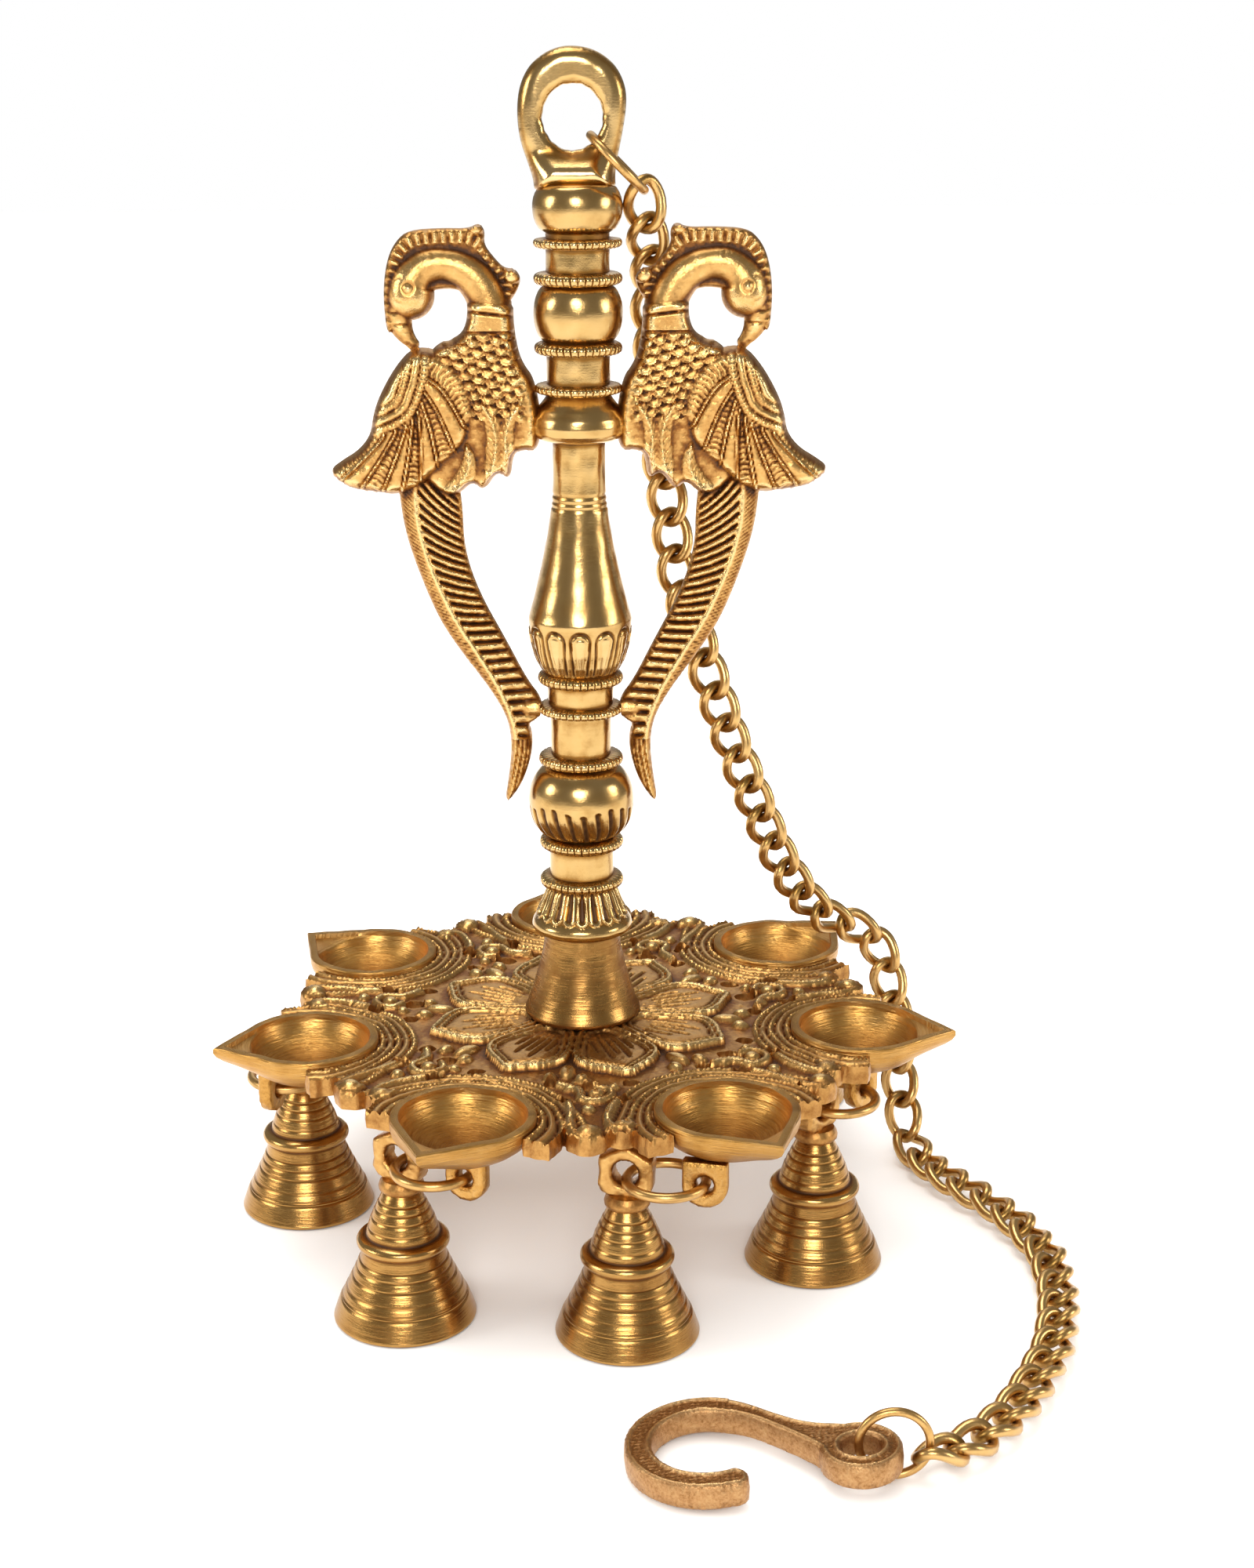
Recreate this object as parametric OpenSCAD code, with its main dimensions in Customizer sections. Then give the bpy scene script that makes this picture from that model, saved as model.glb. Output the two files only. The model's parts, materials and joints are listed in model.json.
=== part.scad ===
/* [Overall] */
// Length of the plain tapered part of the pillar
taper_h = 38; // [30:0.1:60]
// Distance from the pillar's axis to the tip of each cup
tip_r = 108; // [104:0.2:140]
// Turn of the plate about the pillar
plate_turn = 2.5; // [-10:0.5:10]

/* [Pillar] */
// Diameter of the thin top of the taper
neck_d = 14.4; // [12:0.1:18]
// Diameter of the swelling at the foot of the taper
swell_d = 28.8; // [26:0.1:34]
// Diameter of the plain shaft between the beaded rings
shaft_d = 17.2; // [15:0.1:19]
// Diameter of the beaded rings
ring_band_d = 23.8; // [21:0.1:25]
// Height of one beaded ring
ring_band_h = 3.2; // [2.4:0.1:4]
// Diameter of the saucer collar that carries the birds
saucer_d = 25.8; // [24:0.1:30]
// Diameter of the two upper balls
ball_d = 24; // [22:0.1:28]
// Diameter of the fluted vase ball near the foot
vase_d = 29.8; // [27:0.1:34]
// Diameter of the petal skirt's lip
skirt_d = 28.8; // [26:0.1:32]

/* [Hanging eye] */
// Diameter of the hole in the hanging eye
eye_bore = 16.6; // [15:0.1:18]
// Width of the hanging eye
eye_w = 28; // [26:0.5:32]
// Thickness of the hanging eye
eye_t = 7; // [6:0.1:7.4]
// Height from the top ball to the middle of the hole
eye_rise = 17; // [16:0.5:22]

/* [Foot and stud] */
// Diameter of the foot cone where it sits on the plate
foot_d = 33.6; // [30:0.1:40]
// Height of the foot cone
foot_h = 25; // [20:0.5:35]
// Diameter of the stud that ties the pillar to the plate
stud_d = 8; // [6:0.5:10]
// Length of stud screwed into the pillar
stud_grip = 16; // [12:1:20]
// Size of the nut across its flats
nut_af = 13; // [13:0.5:17]
// Height of the nut
nut_h = 6.4; // [5:0.1:8]
// Diameter of the washer
washer_d = 24; // [19:0.5:30]
// Thickness of the washer
washer_t = 1.6; // [1:0.1:2.4]

/* [Plate] */
// Thickness of the openwork plate
plate_t = 4.2; // [3.5:0.1:5]
// Radius of the lotus in the middle of the plate
lotus_r = 45; // [42:0.5:50]
// Rise of the lotus above the plate's face
lotus_rise = 1.9; // [1:0.1:3]
// Drop of the plate's face below the cup rims
plate_drop = 2.4; // [1.5:0.1:4]
// Distance that the plate's edge between two cups stays in from the cups' tips
edge_inset = 25; // [22:0.5:30]

/* [Cups] */
// Diameter of the round part of each cup
cup_d = 39; // [32.5:0.5:42]
// Distance from the middle of the round part to the spout's tip
spout_l = 27.5; // [24:0.5:32]
// Depth of a cup from its rim to its underside
cup_h = 12; // [11:0.1:12.4]
// Wall of a cup
cup_wall = 2.2; // [1.6:0.1:3]
// Diameter of a cup's flat underside
cup_foot_d = 16; // [14:0.5:19]

/* [Lugs and jump rings] */
// Drop from a cup's underside to the middle of its lug's bore
lug_drop = 4.3; // [4:0.1:30]
// Bore of the lug under each cup
lug_bore = 5; // [4.8:0.1:6]
// Thickness of a lug
lug_t = 4.4; // [3.5:0.1:5]
// Width of a lug
lug_w = 12; // [11:0.5:15]
// Diameter of a jump ring's wire
ring_wire = 2.8; // [2.2:0.1:3]
// Diameter of a jump ring, from wire middle to wire middle
ring_d = 21; // [20:0.2:25.2]

/* [Bells] */
// Diameter of a bell's mouth
bell_d = 39; // [33:0.5:40]
// Height of a bell without its eye
bell_h = 33; // [30:0.1:40]
// Wall of a bell
bell_wall = 2; // [1.6:0.1:2.5]
// Diameter of the collar round a bell's waist
bell_collar_d = 26.6; // [25:0.1:29]
// Bore of a bell's eye
bell_eye_bore = 7.4; // [7:0.1:7.6]
// Diameter of a bell's eye
bell_eye_d = 14.6; // [14:0.1:15]
// Thickness of a bell's eye
bell_eye_t = 6.4; // [5:0.1:6.6]
// Diameter of the shank that rivets an eye into its bell
shank_d = 4; // [3:0.1:5]
// Diameter of a clapper's ball
clapper_d = 7.6; // [6:0.1:9]

/* [Birds] */
// Thickness of a bird's body
bird_t = 12; // [10:0.5:14]
// Thickness across both wings
wing_t = 16; // [14.5:0.5:20]
// Thickness of a tail
tail_t = 8; // [6:0.5:10]
// Thickness of a crest
crest_t = 4; // [3:0.5:6]

/* [Chain and hook] */
// Diameter of the chain's wire
chain_wire = 2.4; // [2:0.1:2.6]
// Diameter of the ring that joins the chain to the hanging eye, middle to middle
top_ring_d = 20; // [19.5:0.1:21]
// Diameter of that ring's wire
top_ring_wire = 2.4; // [2:0.1:2.5]
// Diameter of the ring that joins the chain to the hook, middle to middle
hook_ring_d = 17.2; // [16.8:0.1:18]
// Diameter of that ring's wire
hook_ring_wire = 2.2; // [1.8:0.1:2.3]
// Thickness of the flat hook
hook_t = 7; // [5.5:0.1:7.2]
// Width of the hook's bow
hook_w = 6.6; // [5:0.1:8]
// Clear diameter inside the hook's bow
hook_gap_d = 26.6; // [24:0.1:30]
// Diameter of the hook's own eye
hook_eye_d = 20; // [18:0.1:20.6]
// Bore of the hook's own eye
hook_eye_bore = 9.6; // [9.2:0.1:10.5]

/* [Hidden] */
$fn = 48;
cups = 7;

// A brazed or seated face stands this far off its neighbour
seat_gap = 0.05;
// Running clearance of a wire that turns in a hole
wire_gap = 0.4;
eps = 0.01;

// The bells' mouths stand on z = 0. A ring's wire lies on the bottom of its lug's bore and of its bell's eye
eye_axis_z = bell_h + 14.2;
ring_z = eye_axis_z - bell_eye_bore / 2 + ring_wire / 2 + wire_gap;
lug_axis_z = ring_z + (lug_bore - ring_wire) / 2 - 0.7;
cup_bottom = lug_axis_z + lug_drop;
rim_z = cup_bottom + cup_h;

cup_r = tip_r - spout_l;
plate_edge_r = tip_r - edge_inset;
plate_top = rim_z - plate_drop;
plate_bottom = plate_top - plate_t;
lotus_top = plate_top + lotus_rise;
foot_top = lotus_top + foot_h;

// Heights of the turned members, from the foot cone upwards
z_skirt = foot_top;
z_ring_9 = z_skirt + 13.8;
z_shaft_c = z_ring_9 + ring_band_h;
z_ring_8 = z_shaft_c + 8.3;
z_vase = z_ring_8 + ring_band_h;
z_ring_7 = z_vase + 21.4;
z_shaft_b = z_ring_7 + ring_band_h;
z_ring_6 = z_shaft_b + 11.7;
z_ring_5 = z_ring_6 + ring_band_h + 5.5;
z_petal = z_ring_5 + ring_band_h;
z_swell = z_petal + 15.6;
z_neck = z_swell + taper_h;
z_saucer = z_neck + 11.6;
z_ring_4 = z_saucer + 12.6;
z_ring_3 = z_ring_4 + 10.4;
z_ball_2 = z_ring_3 + ring_band_h;
z_ring_2 = z_ball_2 + 15.2;
z_ring_1 = z_ring_2 + 9.4;
z_ball_1 = z_ring_1 + ring_band_h + 1.6;
z_eye_foot = z_ball_1 + 12;
z_eye = z_eye_foot + eye_rise;
stem_top = z_eye + eye_w / 2 + 3.4;

// The bell and ring units: how far a lug is outside its cup's middle, its turn about the pillar, and its ring's way
lug_out = [7.5, 1.5, 9.5, 9.5, 9.5, 10.5, 2.5];
lug_turn = [-7, -4.5, -3, -3, -3, -3, 1.5];
ring_way = [-132, -122, 60, -124, -124, -123, -96];

// Brass colours
brass = "#c79a45";
polished = "#d9b45e";
dark_brass = "#a97a35";
steel_brass = "#b98f4a";

function cup_way(i) = plate_turn - 90 + 360 / cups * (i - 0.5);
function lug_x(i) = (cup_r + lug_out[i - 1]) * cos(cup_way(i) + lug_turn[i - 1]);
function lug_y(i) = (cup_r + lug_out[i - 1]) * sin(cup_way(i) + lug_turn[i - 1]);
function unit_way(i) = cup_way(i) + ring_way[i - 1];

// Points of a turned profile: a plain length, a round bead and a bellied member
function plain(z0, z1, d) = [[d / 2, z0], [d / 2, z1]];
function belly(z0, z1, d_low, d_max, d_high, steps = 8) =
    [for (k = [0:steps])
        let (t = k / steps, low = d_low + (d_high - d_low) * t)
        [(low + (d_max - low) * sin(180 * t)) / 2, z0 + (z1 - z0) * (1 - cos(180 * t)) / 2]];
function band(z) = belly(z, z + ring_band_h, shaft_d, ring_band_d, shaft_d, 4);

stem_profile = concat(
    [[0, z_skirt], [skirt_d / 2 - 4, z_skirt]],
    [[skirt_d / 2 - 0.6, z_skirt + 0.8], [skirt_d / 2, z_skirt + 2], [skirt_d / 2 - 1, z_skirt + 4]],
    [[ring_band_d / 2 - 0.6, z_ring_9 - 2], [shaft_d / 2, z_ring_9]],
    band(z_ring_9),
    plain(z_shaft_c + 0.2, z_ring_8 - 0.2, shaft_d + 1),
    band(z_ring_8),
    belly(z_vase + 0.4, z_ring_7 - 0.4, shaft_d, vase_d, shaft_d, 10),
    band(z_ring_7),
    plain(z_shaft_b + 0.2, z_ring_6 - 0.2, shaft_d - 0.4),
    band(z_ring_6),
    plain(z_ring_6 + ring_band_h + 0.4, z_ring_5 - 0.4, shaft_d + 1),
    band(z_ring_5),
    [[swell_d / 2 - 4, z_petal + 0.4], [swell_d / 2 - 1.4, z_petal + 7], [swell_d / 2, z_swell]],
    [for (k = [1:8]) let (t = k / 8) [(neck_d + (swell_d - neck_d) * pow(1 - t, 1.5)) / 2, z_swell + taper_h * t]],
    plain(z_neck + 0.5, z_saucer - 0.4, neck_d),
    [[saucer_d / 2 - 2.2, z_saucer], [saucer_d / 2, z_saucer + 4], [saucer_d / 2 - 1.6, z_saucer + 7]],
    [[shaft_d / 2, z_ring_4 - 0.6]],
    plain(z_ring_4, z_ring_4 + 2, shaft_d + 1.4),
    plain(z_ring_4 + 2.2, z_ring_3 - 0.2, shaft_d),
    band(z_ring_3),
    belly(z_ball_2 + 0.3, z_ring_2 - 0.3, shaft_d, ball_d, shaft_d),
    band(z_ring_2),
    plain(z_ring_2 + ring_band_h + 0.2, z_ring_1 - 0.2, shaft_d),
    band(z_ring_1),
    belly(z_ball_1, z_eye_foot, shaft_d, ball_d, shaft_d),
    [[0, z_eye_foot]]);

// Birds stand out from the pillar. A tail hangs from the saucer to ring 6, a share of that height, and its tip below
// the ring is in millimetres
bird_z = z_saucer + 1.8;
tail_z = z_ring_6 + ring_band_h / 2;
bird_off = saucer_d / 2 + seat_gap;
tail_off = ring_band_d / 2 + seat_gap;
function up(p) = [for (q = p) [bird_off + q[0], bird_z + q[1]]];
function down(p) = [for (q = p) [tail_off + q[0], tail_z + q[1] * (q[1] > 0 ? bird_z - tail_z : 1)]];

breast_points = up([[0, -4], [2, -10], [6, -13], [13, -16], [19, -10], [26, 0], [24, 18], [16.5, 27], [17, 36],
    [4.5, 35], [4, 27], [0, 22]]);
wing_points = up([[31.5, 23], [37.5, 16], [42, 9], [42.5, 4], [45, -2], [49.5, -6], [54.5, -9.5], [52, -13],
    [45, -15], [37.5, -16], [31.5, -15], [24.5, -9], [17, -1.5], [14.5, 6], [16, 13], [20, 20], [27, 22.8]]);
crest_points = up([[2.5, 38], [14, 53], [32, 53.5], [36, 48], [39.5, 40], [38, 29], [33, 25], [31, 34], [10, 36]]);
tail_points = down([[36, 0.88], [37, 0.7], [33.5, 0.53], [28.5, 0.33], [21, 0.17], [13.5, 0.04], [9, -4.6],
    [7.5, -10.8], [7.5, -15.5], [9.5, -24.7], [9.3, -28.6], [5.5, -25.5], [1.5, -22.4], [0, -12.4], [0, -3.9],
    [0, 0.03], [2.5, 0.07], [9.5, 0.22], [18, 0.4], [21.5, 0.58], [20, 0.88]]);

// The chain's route: middle of the band, from the ring at the hanging eye to the ring on the hook
chain_points = [[17.5, 0, 295.5], [18, 2, 288], [19, 7, 279], [20, 11.5, 271], [20, 14, 262], [21, 15.5, 248],
    [22, 16, 230], [24, 16, 214], [26, 16, 199], [28, 16, 185], [32, 16, 172], [36, 17, 160], [40, 18, 148],
    [44, 20, 136], [49, 22, 123], [54, 25, 110], [60, 29, 96], [67, 33, 84], [76, 38, 75], [85, 42, 70],
    [92, 43, 63], [95, 42, 52], [97, 40, 40], [98, 38, 28], [99, 35, 17], [100, 30, 8], [102, 23, 5.2],
    [105, 13, 5.2], [111, 1, 5.2], [119, -12, 5.2], [126, -27, 5.2], [130, -44, 5.2], [130, -62, 5.2],
    [127, -80, 5.2], [122, -97, 5.2], [115, -112, 5.2], [107, -126, 5.2], [99, -136, 5.2], [91, -143, 5.4],
    [81.5, -149.5, 7.5]];
link_gap = 0.6;
step_l = [for (k = [0:len(chain_points) - 2]) norm(chain_points[k + 1] - chain_points[k])];
function total(v, k) = k < 0 ? 0 : v[k] + total(v, k - 1);
run_l = [for (k = [0:len(step_l)]) total(step_l, k - 1)];
chain_l = run_l[len(run_l) - 1];
function span_of(s, k = 0) = k >= len(step_l) - 1 || s < run_l[k + 1] ? k : span_of(s, k + 1);
function at(s) = let (k = span_of(s)) chain_points[k]
    + (chain_points[k + 1] - chain_points[k]) * (s - run_l[k]) / step_l[k];
link_count = round(chain_l / 7.7);
link_pitch = chain_l / link_count;
link_d = link_pitch + chain_wire + link_gap;

// The ring in the hanging eye leans out of the lower right of the hole
eye_x = -1.1;
top_ring_seat = eye_bore / 2 - top_ring_wire / 2 - 0.45;
top_ring_out = top_ring_seat + top_ring_d / 2;
top_ring_x = eye_x + top_ring_out * sqrt(0.5);
top_ring_z = z_eye - top_ring_out * sqrt(0.5);

// The hook lies on the table, its eye end propped on the ring's wire
hook_eye_x = 66.5;
hook_y = -149;
hook_ring_x = hook_eye_x + 7.6;
hook_ring_z = (hook_ring_d + hook_ring_wire) / 2;
hook_bow_x = hook_eye_x - 37;
hook_bow_y = hook_y + 5;
hook_bow_r = (hook_gap_d + hook_w) / 2;
hook_tilt = 3;

module turned(points) {
    rotate_extrude() polygon(points);
}

// A solid in the upright plane of the birds, extruded both ways from it
module upright(thick) {
    rotate([90, 0, 0]) linear_extrude(thick, center = true) children();
}

module wire_ring(mean_d, wire_d) {
    rotate_extrude() translate([mean_d / 2, 0]) circle(d = wire_d);
}

module stem() {
    color(polished) difference() {
        union() {
            turned(stem_profile);
            intersection() {
                upright(eye_t) union() {
                    translate([eye_x, z_eye + 2]) circle(d = eye_w);
                    translate([eye_x, z_eye + 5.4]) circle(d = eye_w - 4);
                    polygon([[-10.4, z_eye_foot - 2], [10.4, z_eye_foot - 2], [12, z_eye - 4], [eye_x + 13.4, z_eye],
                        [eye_x - 13.4, z_eye], [-12.6, z_eye - 6]]);
                }
                translate([0, 0, z_eye_foot - 2]) cylinder(d = eye_w + 6, h = stem_top - z_eye_foot + 4);
            }
            translate([0, 0, z_eye_foot - 1]) cylinder(d1 = shaft_d + 1.5, d2 = eye_t, h = 7);
        }
        translate([eye_x, 0, z_eye]) rotate([90, 0, 0]) cylinder(d = eye_bore, h = eye_t + 2, center = true);
        for (side = [-1, 1])
            translate([eye_x, side * 1.2, z_eye]) rotate([-side * 90, 0, 0])
                cylinder(d1 = eye_bore, d2 = eye_bore + 3.4, h = eye_t / 2 - 1.2 + eps);
        translate([0, 0, foot_top - 1]) cylinder(d = stud_d + 2 * seat_gap, h = stud_grip + 3);
    }
}

module foot_cone() {
    color(dark_brass) difference() {
        translate([0, 0, lotus_top]) turned([[0, 0], [foot_d / 2, 0], [foot_d / 2, 0.8], [foot_d / 2 - 3, 8],
            [foot_d / 2 - 5.4, foot_h - 7], [foot_d / 2 - 6.4, foot_h], [0, foot_h]]);
        translate([0, 0, lotus_top - 1]) cylinder(d = stud_d + 2 * seat_gap, h = foot_h + 2);
    }
}

module tie_stud() {
    color(steel_brass) translate([0, 0, plate_bottom - washer_t - nut_h - 2])
        cylinder(d = stud_d, h = foot_top + stud_grip - plate_bottom + washer_t + nut_h + 2);
}

module washer() {
    color(dark_brass) translate([0, 0, plate_bottom - washer_t]) difference() {
        cylinder(d = washer_d, h = washer_t);
        translate([0, 0, -1]) cylinder(d = stud_d + 2 * seat_gap, h = washer_t + 2);
    }
}

module nut() {
    color(dark_brass) translate([0, 0, plate_bottom - washer_t - nut_h]) difference() {
        cylinder(d = nut_af / cos(30), h = nut_h, $fn = 6);
        translate([0, 0, -1]) cylinder(d = stud_d + 2 * seat_gap, h = nut_h + 2);
    }
}

// The outline of a cup, seen from above, with its round part at the origin and its spout along X
module cup_outline(grow = 0) {
    side = acos(cup_d / 2 / spout_l);
    circle(d = cup_d + 2 * grow);
    polygon([[0, 0], (cup_d / 2 + grow) * [cos(side), -sin(side)], [spout_l + grow / cos(side), 0],
        (cup_d / 2 + grow) * [cos(side), sin(side)]]);
}

module at_cup(i) {
    rotate(cup_way(i)) translate([cup_r, 0, 0]) children();
}

module plate() {
    color(brass) difference() {
        union() {
            translate([0, 0, plate_bottom]) linear_extrude(plate_t) difference() {
                union() {
                    circle(r = plate_edge_r - 13);
                    for (i = [1:cups]) {
                        rotate(cup_way(i) + 180 / cups) translate([plate_edge_r - 17, 0]) circle(r = 17);
                        rotate(cup_way(i)) translate([cup_r - 1, 0]) circle(d = cup_d + 6);
                    }
                }
                for (i = [1:cups]) {
                    rotate(cup_way(i)) translate([cup_r, 0]) cup_outline(seat_gap);
                    rotate(cup_way(i) + 180 / cups) {
                        translate([lotus_r + 6, 0]) circle(r = 3.4);
                        for (side = [-1, 1]) {
                            translate([lotus_r + 15, side * 8]) circle(r = 2.8);
                            translate([lotus_r + 4.5, side * 11]) circle(r = 2.2);
                        }
                    }
                }
            }
            translate([0, 0, plate_top - eps]) cylinder(r = lotus_r, h = lotus_rise + eps);
        }
        translate([0, 0, plate_bottom - 1]) cylinder(d = stud_d + 2 * seat_gap, h = plate_t + lotus_rise + 2);
    }
}

module diya(i) {
    waist = rim_z - plate_bottom;
    color(polished) difference() {
        union() {
            at_cup(i) {
                hull() {
                    translate([0, 0, rim_z - 2]) linear_extrude(2) cup_outline();
                    translate([0, 0, rim_z - waist]) linear_extrude(1) intersection() {
                        cup_outline();
                        translate([-1.5, 0]) circle(d = cup_d);
                    }
                }
                hull() {
                    translate([0, 0, rim_z - waist]) cylinder(d = cup_d - 6, h = 0.5, $fn = 32);
                    translate([0, 0, cup_bottom]) cylinder(d = cup_foot_d, h = 0.5, $fn = 32);
                }
            }
            translate([lug_x(i), lug_y(i), 0]) rotate(unit_way(i)) rotate([90, 0, 0]) {
                translate([0, lug_axis_z - 0.4, 0]) cylinder(d = lug_w, h = lug_t, center = true);
                translate([-lug_w / 2, lug_axis_z - 0.4, -lug_t / 2])
                    cube([lug_w, cup_bottom + 5 - lug_axis_z, lug_t]);
            }
        }
        at_cup(i) hull() {
            translate([0, 0, rim_z]) linear_extrude(1) offset(-cup_wall) cup_outline();
            translate([0, 0, cup_bottom + cup_wall]) cylinder(d = cup_foot_d, h = 0.5, $fn = 32);
        }
        translate([lug_x(i), lug_y(i), lug_axis_z]) rotate(unit_way(i)) rotate([90, 0, 0])
            cylinder(d = lug_bore, h = lug_t + 8, center = true);
    }
}

module jump_ring(i) {
    color(brass) translate([lug_x(i), lug_y(i), ring_z]) rotate(unit_way(i)) translate([ring_d / 2, 0, 0])
        wire_ring(ring_d, ring_wire);
}

// Everything on a bell is drawn about its own axis, with the swing plane along X
module at_bell(i) {
    translate([lug_x(i), lug_y(i), 0]) rotate(unit_way(i)) translate([ring_d, 0, 0]) children();
}

module bell(i) {
    r = bell_d / 2;
    w = bell_collar_d / 2;
    color(dark_brass) at_bell(i) difference() {
        turned([[0, 0], [r, 0], [r, 1], [r - 1.6, 4.5], [r - 4.2, 10.5], [w - 1.4, 18.5], [w - 0.4, 19.2], [w, 20.5],
            [w - 0.4, 21.8], [w - 2.8, 22.4], [w - 4.2, 27], [w - 5.6, bell_h - 2.5], [w - 7.2, bell_h - 0.6],
            [w - 9, bell_h], [0, bell_h]]);
        translate([0, 0, -eps]) turned([[0, 0], [r - bell_wall, 0], [r - bell_wall - 1.6, 4],
            [r - bell_wall - 4.4, 10.5], [w - 1.4 - bell_wall, 18.5], [w - 3 - bell_wall, 22.5],
            [w - 5.8 - bell_wall, bell_h - 3], [0, bell_h - 2.4]]);
        cylinder(d = shank_d + 2 * seat_gap, h = bell_h + 1);
    }
}

staple_d = 3.8;
staple_wire = 1.2;
staple_z = bell_h - 7.4;
clapper_wire = 1;
clapper_pin_z = staple_z - staple_d / 2;

module bell_eye(i) {
    color(dark_brass) at_bell(i) {
        difference() {
            union() {
                translate([0, 0, eye_axis_z]) rotate([90, 0, 0]) rotate(22.5)
                    cylinder(d = bell_eye_d / cos(22.5), h = bell_eye_t, center = true, $fn = 8);
                translate([0, 0, bell_h]) cylinder(d1 = 9, d2 = 6, h = eye_axis_z - bell_h - bell_eye_bore / 2);
                translate([0, 0, staple_z + staple_d / 2]) cylinder(d = shank_d, h = bell_h - staple_z);
            }
            translate([0, 0, eye_axis_z]) rotate([90, 0, 0])
                cylinder(d = bell_eye_bore, h = bell_eye_t + 2, center = true);
        }
        translate([0, 0, staple_z]) rotate([90, 0, 90]) wire_ring(staple_d, staple_wire);
    }
}

module clapper(i) {
    loop_z = clapper_pin_z + (staple_wire + clapper_wire) / 2 + 0.35 - staple_d / 2;
    ball_z = bell_h - 24;
    color(steel_brass) at_bell(i) {
        translate([0, 0, loop_z]) rotate([90, 0, 0]) wire_ring(staple_d, clapper_wire);
        translate([0, 0, ball_z]) cylinder(d = 1.8, h = loop_z - staple_d / 2 - ball_z + 0.2);
        translate([0, 0, ball_z]) sphere(d = clapper_d);
    }
}

// One bird, drawn on the +X side of the pillar
module bird() {
    color(brass) difference() {
        union() {
            upright(bird_t) polygon(breast_points);
            upright(wing_t) polygon(wing_points);
            upright(crest_t) polygon(crest_points);
            upright(tail_t) polygon(tail_points);
            translate([bird_off + 31, 0, bird_z + 40]) sphere(r = 7.4);
            translate([bird_off + 20.5, 0, bird_z + 36]) rotate([90, 0, 0])
                rotate_extrude(angle = 180) translate([9.6, 0]) circle(r = 5);
            translate([bird_off + 32, 0, bird_z + 24.5]) cylinder(d1 = 4, d2 = 9, h = 10);
        }
        translate([bird_off + 23.4, 0, bird_z + 30.6]) rotate([90, 0, 0])
            cylinder(d = 9.6, h = bird_t + 6, center = true);
    }
}

module peacock_right() {
    bird();
}

module peacock_left() {
    mirror([1, 0, 0]) bird();
}

module chain() {
    color(brass) for (k = [0:link_count - 1]) {
        here = at((k + 0.5) * link_pitch);
        way = at((k + 0.9) * link_pitch) - at((k + 0.1) * link_pitch);
        flat = norm([way[0], way[1]]);
        translate(here) rotate([0, atan2(flat, way[2]), atan2(way[1], way[0])])
            rotate([90, 0, 45 + 90 * (k % 2)]) wire_ring(link_d, chain_wire);
    }
}

module chain_top_ring() {
    color(brass) translate([top_ring_x, 0, top_ring_z]) rotate([0, 45, 0])
        wire_ring(top_ring_d, top_ring_wire);
}

module hook_ring() {
    color(brass) translate([hook_ring_x, hook_y, hook_ring_z]) rotate([90, 0, 0])
        wire_ring(hook_ring_d, hook_ring_wire);
}

module hook() {
    color(brass) translate([hook_bow_x - hook_bow_r - hook_w / 2, 0, 0]) rotate([0, -hook_tilt, 0])
        translate([hook_bow_r + hook_w / 2 - hook_bow_x, 0, 0]) difference() {
            union() {
                translate([hook_bow_x, hook_bow_y, 0]) rotate_extrude(angle = 215, start = 75)
                    translate([hook_bow_r - hook_w / 2, 0]) square([hook_w, hook_t]);
                translate([hook_eye_x, hook_y, 0]) cylinder(d = hook_eye_d, h = hook_t);
                linear_extrude(hook_t) polygon([
                    [hook_bow_x + (hook_bow_r - hook_w / 2) * cos(75), hook_bow_y + (hook_bow_r - hook_w / 2) * sin(75)],
                    [hook_eye_x - 12, hook_y + 3], [hook_eye_x - 4, hook_y - 7], [hook_eye_x - 1, hook_y + 8],
                    [hook_eye_x - 12, hook_y + 10.5],
                    [hook_bow_x + (hook_bow_r + hook_w / 2) * cos(75), hook_bow_y + (hook_bow_r + hook_w / 2) * sin(75)]]);
            }
            translate([hook_eye_x, hook_y, -1]) cylinder(d = hook_eye_bore, h = hook_t + 2);
            translate([hook_bow_x, hook_bow_y, -1]) cylinder(d = hook_gap_d, h = hook_t + 2);
        }
}

stem();
foot_cone();
tie_stud();
washer();
nut();
plate();
peacock_left();
peacock_right();
for (i = [1:cups]) {
    diya(i);
    jump_ring(i);
    bell(i);
    bell_eye(i);
    clapper(i);
}
chain();
chain_top_ring();
hook_ring();
hook();
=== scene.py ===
# Brass hanging lamp with seven cups: the finish pieces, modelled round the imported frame.
# Sizes are in millimetres, and mm turns them into metres.
import json
import math
import bpy
import numpy as np
from mathutils import Matrix, Vector


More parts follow.
